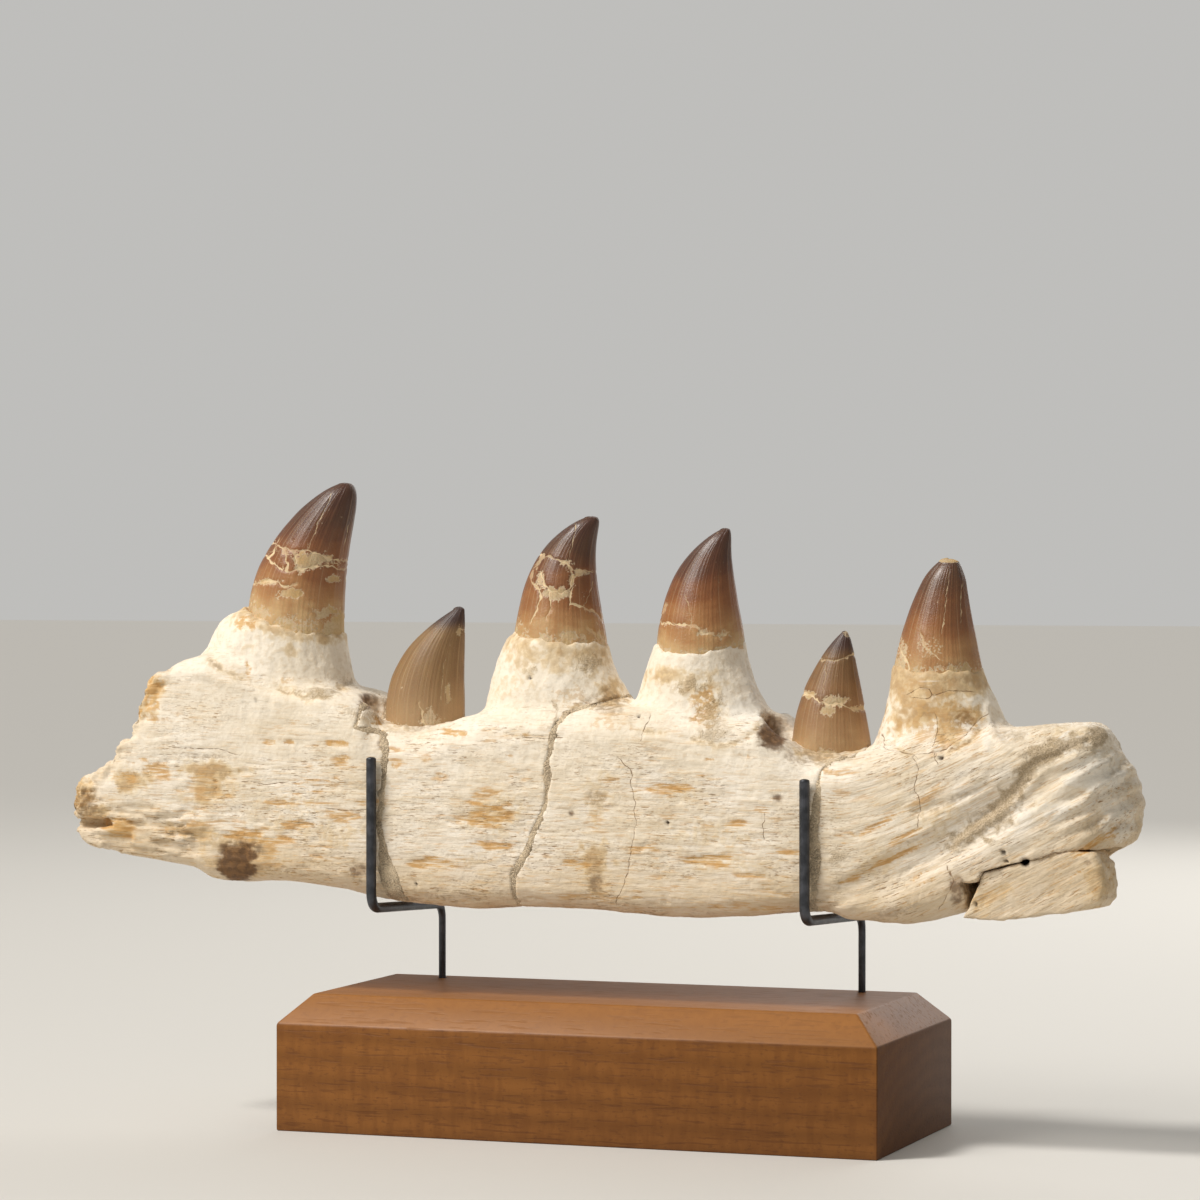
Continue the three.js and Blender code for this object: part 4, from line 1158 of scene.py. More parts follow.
def bone_material(group):
    """Cream fossil bone with ochre streaks, brown patches, sandy matrix and white scrapes, plus painted shade
    low on the front, along the underside and in the small holes, and painted light at the right end.
    """
    material, tree, shader, place = new_material("Fossil bone", paint(232, 216, 188))
    ochre, brown, sand, white, _ = layer(tree, "stain")
    crack, crack_weight, hole, chalky, _ = layer(tree, "lines")
    fibre = layer(tree, "fibre")[4]
    broad = speckle(tree, group, place, 45.0, 0.35, 0.65)
    threads = speckle(tree, group, fibre, (0.11, 0.35, 0.85), 0.35, 0.68, 4.0)
    streaks = speckle(tree, group, fibre, (0.16, 0.6, 1.3), 0.32, 0.68, 3.0)
    slits = speckle(tree, group, fibre, (0.25, 0.8, 2.3), 0.625, 0.665, 2.0)
    fine_slits = speckle(tree, group, fibre, (0.6, 1.4, 3.4), 0.63, 0.68, 2.0)
    slit_field = speckle(tree, group, place, (50.0, 70.0, 110.0), 0.42, 0.62, 2.0)
    grains = speckle(tree, group, place, 1700.0, 0.36, 0.64, 2.0)
    coarse = speckle(tree, group, place, 520.0, 0.36, 0.64)
    low, clustered, torn, honey, _ = layer(tree, "shade")
    bony = minus(tree, 1.0, times(tree, chalky, 0.9))
    sandy = frayed(tree, sand, coarse, 0.35, 0.6)
    clean = times(tree, minus(tree, 1.0, sandy), bony)
    slits = calc(tree, "MAXIMUM", slits, times(tree, fine_slits, 0.5))
    crowded = reach(tree, plus(tree, slit_field, clustered), 0.0, 1.0, 0.15, 1.0)
    slits = times(tree, slits, times(tree, clean, crowded))
    dashes = speckle(tree, group, fibre, (0.17, 0.6, 1.7), 0.585, 0.66, 2.0)
    colour = mixed(tree, broad, paint(244, 234, 218), paint(234, 220, 197))
    colour = tinted(tree, colour, chalky, 0.6, (245, 234, 215))
    honeyed = weighted(tree, honey, frayed(tree, honey, coarse, 0.5, 0.7), 0.95)
    dappled = speckle(tree, group, place, 210.0, 0.36, 0.64)
    tan = mixed(tree, dappled, paint(220, 192, 146), paint(186, 150, 102))
    tan = tinted(tree, tan, coarse, 0.5, (172, 138, 94))
    tan = mixed(tree, reach(tree, honey, 0.45, 1.15), paint(233, 210, 170), tan)
    colour = mixed(tree, honeyed, colour, tan)
    # Painted shade: the front is drawn darker towards its bottom by the first channel of the shade layer
    colour = tinted(tree, colour, low, 0.55, (206, 180, 142))
    torn_colour = mixed(tree, coarse, paint(214, 188, 146), paint(186, 154, 108))
    colour = mixed(tree, times(tree, torn, 0.4), colour, torn_colour)
    colour = tinted(tree, colour, threads, times(tree, bony, 0.45), (208, 186, 150))
    colour = tinted(tree, colour, times(tree, coarse, chalky), 0.22, (212, 196, 168))
    gold = mixed(tree, streaks, paint(216, 176, 114), paint(197, 148, 84))
    drawn = times(tree, streaks, bony)
    ragged = plus(tree, drawn, times(tree, coarse, minus(tree, 1.0, bony)))
    golden = weighted(tree, ochre, frayed(tree, ochre, ragged, 0.9, 0.5), 0.95)
    golden = times(tree, golden, reach(tree, ragged, 0.0, 0.75, 0.42, 1.0))
    colour = mixed(tree, golden, colour, gold)
    colour = mixed(tree, times(tree, dashes, times(tree, clean, 0.42)), colour, gold)
    earth = mixed(tree, coarse, paint(118, 82, 44), paint(90, 60, 32))
    browned = weighted(tree, brown, frayed(tree, brown, coarse, 0.35, 0.8), 0.95)
    colour = mixed(tree, browned, colour, earth)
    # White scrapes, plus painted light where the white patches lift the right end
    scraped_and_lit = frayed(tree, white, threads, 0.8)
    colour = tinted(tree, colour, scraped_and_lit, times(tree, white, 0.75), (238, 232, 220))
    matrix = mixed(tree, grains, paint(164, 143, 112), paint(196, 176, 146))
    colour = mixed(tree, weighted(tree, sand, sandy, 0.9), colour, matrix)
    slit_colour = mixed(tree, broad, paint(146, 114, 78), paint(184, 142, 92))
    colour = mixed(tree, times(tree, slits, 0.9), colour, slit_colour)
    thin = reach(tree, calc(tree, "ABSOLUTE", crack, clamp=False), 0.05, 0.24, 1.0, 0.0)
    broken = reach(tree, coarse, 0.0, 0.8, 0.35, 1.0)
    thin = times(tree, thin, times(tree, crack_weight, broken))
    colour = tinted(tree, colour, thin, 0.85, (134, 100, 66))
    # Painted shade: the small holes are painted near-black for the shade inside them
    colour = mixed(tree, hole, colour, paint(58, 42, 30))
    rough = reach(tree, sandy, 0.0, 1.0, 0.66, 0.95)
    fill(tree, shader, {"Base Color": colour, "Roughness": rough, "Specular IOR Level": 0.3})
    height = times(tree, threads, times(tree, bony, 0.24))
    height = plus(tree, height, times(tree, coarse, 0.18))
    height = plus(tree, height, times(tree, times(tree, sandy, grains), 0.3))
    cut = times(tree, plus(tree, slits, thin), 0.5)
    height = minus(tree, height, cut, clamp=False)
    bumped(tree, shader, height, 0.0006, 0.7)
    return material


def sand_material(group):
    """Pale buff filler and loose grains."""
    material, tree, shader, place = new_material("Sandy filler", paint(160, 142, 116))
    grains = speckle(tree, group, place, 1500.0, 0.4, 0.6, 2.0)
    clouds = speckle(tree, group, place, 160.0, 0.4, 0.62)
    colour = mixed(tree, clouds, paint(208, 188, 158), paint(226, 206, 174))
    colour = tinted(tree, colour, grains, 0.45, (182, 158, 126))
    fill(tree, shader, {"Base Color": colour, "Roughness": 0.95})
    bumped(tree, shader, plus(tree, grains, times(tree, clouds, 0.5)), 0.0006)
    return material


def enamel_material(group):
    """Glossy amber to dark brown enamel with cream cracks and matrix."""
    material, tree, shader, place = new_material("Tooth enamel", paint(120, 82, 56))
    share, crack, crack_weight, chips, _ = layer(tree, "enamel")
    dull, dark, _, _, _ = layer(tree, "tone")
    comb = layer(tree, "comb")[4]
    combed = speckle(tree, group, comb, (13.0, 13.0, 2.6), 0.30, 0.72, 5.0)
    bands = speckle(tree, group, comb, (0.8, 0.8, 22.0), 0.35, 0.65)
    clouds = speckle(tree, group, place, 90.0, 0.35, 0.65)
    fine = speckle(tree, group, place, 1300.0, 0.45, 0.62, 2.0)
    hair = speckle(tree, group, comb, (17.0, 17.0, 1.4), 0.66, 0.69, 1.0)
    level = plus(tree, share, times(tree, bands, 0.10))
    level = plus(tree, level, times(tree, clouds, 0.10))
    level = minus(tree, plus(tree, level, dark), 0.16)
    ramp_node = add_node(tree, "ShaderNodeValToRGB", {"Fac": level})
    stops = ramp_node.color_ramp.elements
    stops[0].position, stops[0].color = 0.0, paint(202, 168, 120)
    stops[1].position, stops[1].color = 1.0, paint(66, 44, 38)
    for position, shade in (
            (0.12, (176, 130, 84)), (0.34, (144, 92, 54)), (0.56, (110, 66, 42)), (0.76, (80, 50, 38))):
        stops.new(position).color = paint(*shade)
    colour = tinted(tree, ramp_node.outputs["Color"], combed, 0.13, (172, 128, 86))
    olive = mixed(tree, combed, paint(134, 104, 68), paint(154, 124, 84))
    olive = tinted(tree, olive, clouds, 0.35, (122, 92, 62))
    olive = mixed(tree, reach(tree, share, 0.0, 0.5, 0.75, 0.0), olive, paint(180, 148, 110))
    olive = mixed(tree, reach(tree, share, 0.76, 0.9), olive, paint(72, 56, 52))
    colour = mixed(tree, dull, colour, olive)
    cores = mixed(tree, clouds, paint(198, 166, 114), paint(206, 186, 150))
    chip_colour = mixed(tree, reach(tree, chips, 0.6, 0.95), paint(216, 198, 168), cores)
    chip_colour = tinted(tree, chip_colour, fine, 0.35, (176, 146, 104))
    chip = times(tree, frayed(tree, chips, fine, 0.5, 0.4), 0.85)
    colour = tinted(tree, colour, hair, 0.22, (200, 172, 136))
    colour = mixed(tree, chip, colour, chip_colour)
    wide = reach(tree, speckle(tree, group, place, 330.0, 0.3, 0.7, 2.0), 0.0, 1.0, 1.7, 0.42)
    away = times(tree, calc(tree, "ABSOLUTE", crack, clamp=False), wide, clamp=False)
    line = reach(tree, away, 0.16, 0.42, 1.0, 0.0)
    broken = reach(tree, clouds, 0.0, 0.8, 0.45, 1.0)
    line = times(tree, times(tree, line, crack_weight), broken)
    colour = mixed(tree, line, colour, paint(222, 198, 158))
    matt = calc(tree, "MAXIMUM", calc(tree, "MAXIMUM", chip, line), times(tree, dull, 0.45))
    fill(tree, shader, {
        "Base Color": colour, "Roughness": reach(tree, matt, 0.0, 1.0, 0.33, 0.8),
        "Coat Weight": reach(tree, matt, 0.0, 0.8, 0.14, 0.0), "Coat Roughness": 0.2,
        "Specular IOR Level": 0.4, "Subsurface Weight": 0.06, "Subsurface Scale": 0.002,
    })
    height = plus(tree, times(tree, combed, 0.4), times(tree, fine, 0.12))
    height = minus(tree, height, times(tree, line, 0.4))
    bumped(tree, shader, height, 0.0003, 0.7)
    return material


# Where the block's bevel starts in height, and its ends in length, in metres from its middle. Above the
# bevel's start the wood is painted lighter as painted light; the ends are darkened as end grain deepened with
# painted shade
LIT_TOP_STARTS = (0.0393, 0.0399)
SHADED_END_STARTS = (0.1144, 0.1149)


def wood_material(group):
    """Satin honey-brown hardwood: rings about a pith outside the block, pores along it, painted light on the
    top and bevel, and end faces darkened as end grain and painted shade.
    """
    material, tree, shader, place = new_material("Block wood", paint(150, 100, 52))
    slow = stretched(tree, place, (3.0, 12.0, 12.0))
    bent = add_node(tree, "ShaderNodeTexNoise", {"Vector": slow, "Scale": 1.0}).outputs["Color"]
    shift = add_node(tree, "ShaderNodeVectorMath", {0: bent, 1: (0.02, 0.02, 0.02)}, operation="MULTIPLY")
    moved = add_node(tree, "ShaderNodeVectorMath", {0: place, 1: shift.outputs[0]}, operation="ADD")
    ring_place = add_node(tree, "ShaderNodeMapping", {
        "Vector": moved.outputs[0], "Location": (0.0, -0.03, 0.11), "Scale": (0.12, 1.0, 1.0),
    }).outputs["Vector"]
    rings = add_node(tree, "ShaderNodeTexWave", {
        "Vector": ring_place, "Scale": 42.0, "Distortion": 1.6, "Detail": 2.0, "Detail Scale": 1.2,
    }, wave_type="RINGS", rings_direction="X", wave_profile="SIN").outputs["Fac"]
    broad = speckle(tree, group, place, (7.0, 40.0, 40.0), 0.3, 0.7)
    flecks = speckle(tree, group, place, (420.0, 380.0, 900.0), 0.56, 0.68, 2.0)
    mottle = speckle(tree, group, place, (330.0, 330.0, 110.0), 0.38, 0.64)
    pores = speckle(tree, group, place, (70.0, 900.0, 900.0), 0.55, 0.66, 2.0)
    colour = mixed(tree, rings, paint(138, 88, 38), paint(124, 78, 32))
    for amount, share, shade in (
            (broad, 0.3, (106, 62, 24)), (mottle, 0.34, (102, 58, 22)), (flecks, 0.4, (92, 54, 26)),
            (pores, 0.4, (88, 50, 24))):
        colour = tinted(tree, colour, amount, share, shade)
    where = add_node(tree, "ShaderNodeSeparateXYZ", {"Vector": place})
    # Painted light: the top face and the bevel are painted lighter, as if lit from above
    upper = reach(tree, where.outputs["Z"], *LIT_TOP_STARTS)
    colour = tinted(tree, colour, upper, 0.4, (172, 118, 64))
    # Both end faces are darker: end grain, deepened with painted shade
    ends = reach(tree, calc(tree, "ABSOLUTE", where.outputs["X"], clamp=False), *SHADED_END_STARTS)
    colour = tinted(tree, colour, ends, 0.55, (74, 44, 20))
    rough = reach(tree, calc(tree, "MAXIMUM", pores, ends), 0.0, 1.0, 0.44, 0.6)
    fill(tree, shader, {"Base Color": colour, "Roughness": rough, "Specular IOR Level": 0.25})
    height = minus(tree, times(tree, rings, 0.5), times(tree, pores, 0.5))
    bumped(tree, shader, plus(tree, height, 0.5), 0.0002, 0.5)
    return material


def steel_material(group):
    """Blackened steel with a worn sheen."""
    material, tree, shader, place = new_material("Hook steel", paint(70, 72, 78))
    worn = speckle(tree, group, place, 220.0, 0.35, 0.7)
    drawn = speckle(tree, group, place, (2600.0, 2600.0, 120.0), 0.35, 0.65)
    fill(tree, shader, {
        "Base Color": mixed(tree, worn, paint(60, 62, 66), paint(88, 90, 96)),
        "Roughness": reach(tree, worn, 0.0, 1.0, 0.36, 0.5), "Metallic": 0.75,
    })
    bumped(tree, shader, drawn, 0.00008, 0.4)
    return material


def floor_material():
    """A plain pale floor."""
    material, tree, shader, _ = new_material("Pale floor", paint(215, 213, 208))
    fill(tree, shader, {"Base Color": paint(206, 203, 197), "Roughness": 0.7})
    return material


def shared_material(name):
    """The material of that name, made once."""
    if name not in bpy.data.materials:
        group = bpy.data.node_groups.get("Speckle") or speckle_group()
        makers = {
            "Fossil bone": bone_material, "Sandy filler": sand_material, "Tooth enamel": enamel_material,
            "Block wood": wood_material, "Hook steel": steel_material,
        }
        makers[name](group)
    return bpy.data.materials[name]


# ---------------------------------------------------------------------------
# Geometry node trees
# ---------------------------------------------------------------------------

def geometry_tree(name, sockets):
    """An empty geometry tree: returns it, its group inputs and the identifier of each."""
    tree = bpy.data.node_groups.new(name, "GeometryNodeTree")
    tree.interface.new_socket("Geometry", in_out="INPUT", socket_type="NodeSocketGeometry")
    keys = {}
    for label, kind in sockets:
        keys[label] = tree.interface.new_socket(label, in_out="INPUT", socket_type=kind).identifier
    tree.interface.new_socket("Geometry", in_out="OUTPUT", socket_type="NodeSocketGeometry")
    return tree, tree.nodes.new("NodeGroupInput").outputs, keys


def close_tree(tree, geometry, material_socket):
    """Ends a tree in real geometry with its material."""
    real = add_node(tree, "GeometryNodeRealizeInstances", {"Geometry": geometry})
    inputs = {"Geometry": real.outputs[0], "Material": material_socket}
    painted = add_node(tree, "GeometryNodeSetMaterial", inputs)
    add_node(tree, "NodeGroupOutput", {"Geometry": painted.outputs[0]})


ROD_SIDES = 40
# A dome is this much of its rod's width, so that it doesn't cross the rod's wall
DOME_SHARE = 0.985
# Where the sand is thick enough for the first grains, and for all of them
GRAINS_FROM, GRAINS_FULL = 0.45, 0.95
GRAIN_SIZES = (0.45, 1.25)
FULL_TURN = 6.28


def rod_tree():
    """A round rod along a path: thinner over its post, with a domed top end."""
    tree, source, keys = geometry_tree("Bent rod", [
        ("Radius", "NodeSocketFloat"), ("Post Share", "NodeSocketFloat"),
        ("Post Length", "NodeSocketFloat"), ("Swelling", "NodeSocketFloat"), ("Dome", "NodeSocketFloat"),
        ("Material", "NodeSocketMaterial"),
    ])
    along = add_node(tree, "GeometryNodeSplineParameter").outputs["Length"]
    past_post = minus(tree, along, source["Post Length"], clamp=False)
    before = times(tree, source["Swelling"], -1.0, clamp=False)
    thick = reach(tree, past_post, before, source["Swelling"], source["Post Share"], 1.0)
    circle = add_node(tree, "GeometryNodeCurvePrimitiveCircle",
                      {"Resolution": ROD_SIDES, "Radius": source["Radius"]})
    tube = add_node(tree, "GeometryNodeCurveToMesh", {
        "Curve": source["Geometry"], "Profile Curve": circle.outputs["Curve"], "Scale": thick,
        "Fill Caps": True,
    })
    smooth = add_node(tree, "GeometryNodeSetShadeSmooth", {"Geometry": tube.outputs["Mesh"]})
    ends = add_node(tree, "GeometryNodeCurveEndpointSelection", {"Start Size": 0, "End Size": 1})
    ball = add_node(tree, "GeometryNodeMeshUVSphere",
                    {"Segments": ROD_SIDES, "Rings": ROD_SIDES // 2, "Radius": source["Radius"]})
    domes = add_node(tree, "GeometryNodeInstanceOnPoints", {
        "Points": source["Geometry"], "Selection": ends.outputs[0], "Instance": ball.outputs["Mesh"],
    })
    flat = add_node(tree, "ShaderNodeCombineXYZ", {"X": DOME_SHARE, "Y": DOME_SHARE, "Z": source["Dome"]})
    sized = add_node(tree, "GeometryNodeScaleInstances",
                     {"Instances": domes.outputs[0], "Scale": flat.outputs[0]})
    joined = add_node(tree, "GeometryNodeJoinGeometry", {"Geometry": smooth.outputs[0]})
    tree.links.new(sized.outputs[0], joined.inputs["Geometry"])
    close_tree(tree, joined.outputs[0], source["Material"])
    return tree, keys


def sand_tree():
    """Loose grains scattered where a layer of the surface says so."""
    tree, source, keys = geometry_tree("Sand grains", [
        ("Density", "NodeSocketFloat"), ("Grain Radius", "NodeSocketFloat"), ("Seed", "NodeSocketInt"),
        ("Material", "NodeSocketMaterial"),
    ])
    stain = add_node(tree, "GeometryNodeInputNamedAttribute", {"Name": "stain"}, data_type="FLOAT_COLOR")
    split = add_node(tree, "FunctionNodeSeparateColor", {"Color": stain.outputs["Attribute"]})
    wanted = add_node(tree, "ShaderNodeMapRange",
                      {"Value": split.outputs["Blue"], 1: GRAINS_FROM, 2: GRAINS_FULL})
    amount = times(tree, wanted.outputs[0], source["Density"], clamp=False)
    points = add_node(tree, "GeometryNodeDistributePointsOnFaces",
                      {"Mesh": source["Geometry"], "Density": amount, "Seed": source["Seed"]})
    grain = add_node(tree, "GeometryNodeMeshIcoSphere", {"Radius": source["Grain Radius"], "Subdivisions": 1})
    size = add_node(tree, "FunctionNodeRandomValue",
                    {2: GRAIN_SIZES[0], 3: GRAIN_SIZES[1], "Seed": source["Seed"]}, data_type="FLOAT")
    turn = add_node(tree, "FunctionNodeRandomValue",
                    {1: (FULL_TURN, FULL_TURN, FULL_TURN), "Seed": source["Seed"]}, data_type="FLOAT_VECTOR")
    placed = add_node(tree, "GeometryNodeInstanceOnPoints", {
        "Points": points.outputs["Points"], "Instance": grain.outputs["Mesh"], "Rotation": turn.outputs[0],
        "Scale": size.outputs[1],
    })
    close_tree(tree, placed.outputs[0], source["Material"])
    return tree, keys


def baked(name, source_data, tree, values):
    """The result of a geometry tree on some data, as a plain mesh object."""
    host = new_object(name + " host", source_data)
    modifier = host.modifiers.new("Geometry", "NODES")
    modifier.node_group = tree
    for key, value in values.items():
        modifier[key] = value
    host.update_tag()
    bpy.context.view_layer.update()
    seen = host.evaluated_get(bpy.context.evaluated_depsgraph_get())
    mesh = bpy.data.meshes.new_from_object(seen)
    host.modifiers.remove(modifier)
    bpy.data.objects.remove(host)
    mesh.name = name
    return new_object(name, mesh)


def on_the_frame(piece, slot_name, *nodes):
    """Ties a finished piece to the frame: it rides the body, and the nodes that it stands for are hidden."""
    if nodes:
        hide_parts(*nodes)
    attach(piece, ROOT_BODY)


# ---------------------------------------------------------------------------
# Settings
# ---------------------------------------------------------------------------

class FossilBoneSettings(bpy.types.PropertyGroup):
    """The bone's surface"""
    cell: bpy.props.FloatProperty(
        name="Cell", description="Spacing of the bone's surface points, in millimetres", default=0.85,
        min=0.5, max=6)
    depth: bpy.props.FloatProperty(
        name="Swell", description="Height of the soft lumps, in millimetres", default=0.6, min=0, max=2)
    fibre_depth: bpy.props.FloatProperty(
        name="Fibre depth", description="Height of the bone's fibres, in millimetres", default=0.22, min=0,
        max=1)
    seed: bpy.props.IntProperty(name="Seed", description="Seed of the bone's random relief", default=7)


class FossilToothSettings(bpy.types.PropertyGroup):
    """The crowns' surface"""
    spacing: bpy.props.FloatProperty(
        name="Spacing", description="Spacing of the crowns' points, in millimetres", default=0.5, min=0.25,
        max=4)
    ridge_depth: bpy.props.FloatProperty(
        name="Ridges", description="Height of the upright ridges, in millimetres", default=0.05, min=0,
        max=0.5)
    crack_depth: bpy.props.FloatProperty(
        name="Cracks", description="Depth of the cracks, in millimetres", default=0.22, min=0, max=1)
    seed: bpy.props.IntProperty(name="Seed", description="Seed of the crowns' random relief", default=101)


class FossilSandSettings(bpy.types.PropertyGroup):
    """The loose grains"""
    density: bpy.props.FloatProperty(
        name="Density", description="Grains on a square metre where the sand is thick", default=500000, min=0)
    grain: bpy.props.FloatProperty(
        name="Grain radius", description="Radius of a middling grain", default=0.0002, min=0.0001,
        subtype="DISTANCE", unit="LENGTH", precision=5)
    seed: bpy.props.IntProperty(name="Seed", description="Seed of the scatter", default=3)


class FossilStandSettings(bpy.types.PropertyGroup):
    """The block and its rods"""
    edge: bpy.props.FloatProperty(
        name="Edge", description="Rounding of the block's edges", default=0.0007, min=0.0001,
        subtype="DISTANCE", unit="LENGTH", precision=5)
    rod_radius: bpy.props.FloatProperty(
        name="Rod radius", description="Radius of the steel rods", default=0.00185, min=0.0005,
        subtype="DISTANCE", unit="LENGTH", precision=5)
    post_radius: bpy.props.FloatProperty(
        name="Post radius", description="Radius of the posts in the block", default=0.00135, min=0.0005,
        subtype="DISTANCE", unit="LENGTH", precision=5)
    dome: bpy.props.FloatProperty(
        name="Dome", description="Height of the rods' domed ends as a share of their radius", default=0.45,
        min=0, max=1)


class FossilStageSettings(bpy.types.PropertyGroup):
    """The floor and the lights"""
    floor: bpy.props.FloatProperty(
        name="Floor", description="Half the floor's side", default=12.0, min=1,
        subtype="DISTANCE", unit="LENGTH")
    sun: bpy.props.FloatProperty(
        name="Main", description="Strength of the even main light", default=2.25, min=0)
    key: bpy.props.FloatProperty(
        name="Key", description="Power of the key light", default=9, min=0, unit="POWER")
    back: bpy.props.FloatProperty(
        name="Back", description="Power of the light behind", default=8, min=0, unit="POWER")
    sky: bpy.props.FloatProperty(
        name="Surround", description="Light from the pale surround", default=0.32, min=0)
    backdrop: bpy.props.FloatProperty(
        name="Backdrop", description="How bright the surround looks", default=0.62, min=0)


SETTINGS = {
    "fossil_bone": FossilBoneSettings, "fossil_tooth": FossilToothSettings, "fossil_sand": FossilSandSettings,
    "fossil_stand": FossilStandSettings, "fossil_stage": FossilStageSettings,
}

# ---------------------------------------------------------------------------
# Operators
# ---------------------------------------------------------------------------

def bone_piece(name, field, low, high, settings, seed):
    """One piece of bone, from its field to a painted mesh."""
    points, normal, quads = settled_net(field, low, high, settings.cell)
    marks = bone_marks(points, seed)
    height = bone_relief(points, normal, marks, settings.depth, settings.fibre_depth, seed)
    points = points + normal * height[:, None]
    return mesh_piece(name, points, [quads], marks, shared_material("Fossil bone"))


class FossilBoneSections(bpy.types.Operator):
    """Builds the four lengths of jaw bone with their tooth roots"""
    bl_idname = "fossil.bone_sections"
    bl_label = "Jaw bone"

    def execute(self, context):
        settings = context.scene.fossil_bone
        for number, (first, last) in enumerate(SECTION_SPANS):
            low, high = (first, *SECTION_LOW), (last, *SECTION_HIGH)
            name = f"bone_section_{number + 1}"
            piece = bone_piece(name, section_field(number), low, high, settings, settings.seed)
            on_the_frame(piece, BONE_SLOT, f"jaw_section_{number + 1}")
        return {"FINISHED"}


class FossilSplinter(bpy.types.Operator):
    """Builds the loose splinter under the back end"""
    bl_idname = "fossil.splinter"
    bl_label = "Loose splinter"

    def execute(self, context):
        settings = context.scene.fossil_bone
        low = (SPLINTER_SPAN[0], SPLINTER_DEPTH[0] - 2, SPLINTER_RISE[0])
        high = (SPLINTER_SPAN[1], SPLINTER_DEPTH[1] + 2, SPLINTER_RISE[1])
        seed = settings.seed + SPLINTER_SEED
        piece = bone_piece("bone_splinter", splinter_field, low, high, settings, seed)
        on_the_frame(piece, BONE_SLOT, "jaw_splinter")
        return {"FINISHED"}


class FossilFiller(bpy.types.Operator):
    """Fills the mended breaks with sandy filler"""
    bl_idname = "fossil.filler"
    bl_label = "Break filler"

    def execute(self, context):
        settings = context.scene.fossil_bone
        for mend in BREAKS:
            xs = [x for x, z in mend["line"] if z < FILLER_TOP]
            low = (min(xs) - FILLER_MARGIN, SECTION_LOW[0], FILLER_RISE[0])
            high = (max(xs) + FILLER_MARGIN, SECTION_HIGH[0], FILLER_RISE[1])
            points, normal, quads = settled_net(filler_field(mend), low, high, settings.cell)
            x, y, z = points.T
            rough = 0.3 * layered_noise(x / 1.8, y / 1.8, z / 1.8, settings.seed + 71, 2)
            rough += 0.35 * layered_noise(x / 5, y / 5, z / 5, settings.seed + 73, 2)
            points = points + normal * rough[:, None]
            piece = mesh_piece(mend["name"], points, [quads], {}, shared_material("Sandy filler"))
            on_the_frame(piece, BONE_SLOT)
        return {"FINISHED"}


class FossilCrowns(bpy.types.Operator):
    """Builds the six tooth crowns"""
    bl_idname = "fossil.crowns"
    bl_label = "Tooth crowns"

    def execute(self, context):
        settings = context.scene.fossil_tooth
        for number, (name, tooth) in enumerate(TEETH.items()):
            dull, darker = CROWN_TONES[name]
            ridges = settings.ridge_depth * (1 + 0.4 * dull)
            seed = settings.seed + CROWN_SEED * number
            points, faces, layers = crown_mesh(
                name, tooth, settings.spacing, ridges, settings.crack_depth, seed)
            layers["tone"] = np.tile(np.array([dull, darker, 0, 1.0]), (len(points), 1))
            material = shared_material("Tooth enamel")
            piece = mesh_piece(f"crown_{number + 1}", points, faces, layers, material)
            on_the_frame(piece, ENAMEL_SLOT, name)
        return {"FINISHED"}


class FossilSand(bpy.types.Operator):
    """Scatters loose grains over the sandy patches of the bone"""
    bl_idname = "fossil.sand"
    bl_label = "Sand grains"

    def execute(self, context):
        settings = context.scene.fossil_sand
        tree, keys = sand_tree()
        for number in range(len(SECTION_SPANS)):
            bone = bpy.data.objects[f"bone_section_{number + 1}"]
            piece = baked(f"sand_grains_{number + 1}", bone.data, tree, {
                keys["Density"]: settings.density, keys["Grain Radius"]: settings.grain,
                keys["Seed"]: settings.seed + number, keys["Material"]: shared_material("Sandy filler"),
            })
            on_the_frame(piece, BONE_SLOT)
        return {"FINISHED"}


# The stand, in metres
BLOCK = dict(length=0.230, width=0.100, height=0.050, bevel=0.0105)
SOCKET = dict(radius=0.00185, depth=0.020, sides=48)
HOOKS = {
    "left": dict(x=-0.0815, prong_y=-0.0392, post_y=0.0305, front_z=0.0821, back_z=0.0785, tip_z=0.1378),
    "right": dict(x=0.085, prong_y=-0.0392, post_y=0.0335, front_z=0.0821, back_z=0.0785, tip_z=0.1326),
}
BACK_PRONG = dict(y=0.0239, top_z=0.120)
BEND_RADIUS = 0.0065
BEND_STEPS = 14
# How far a post stands off the bottom of its hole
POST_GAP = 0.0003
# Edges of the block that bend by more than this many degrees stay sharp
SHARP_ANGLE = 24
SQUARE = ((-1, -1), (1, -1), (1, 1), (-1, 1))


def form_object(name, form):
    """An object from a finished form, which is freed."""
    mesh = bpy.data.meshes.new(name)
    form.to_mesh(mesh)
    form.free()
    return new_object(name, mesh)


def drill(name, place):
    """A cutter for one rod hole, centred on the hole's mouth."""
    form = bmesh.new()
    bmesh.ops.create_cone(form, cap_ends=True, segments=SOCKET["sides"], radius1=SOCKET["radius"],
                          radius2=SOCKET["radius"], depth=2 * SOCKET["depth"])
    bmesh.ops.translate(form, verts=form.verts, vec=place)
    return form_object(name, form)


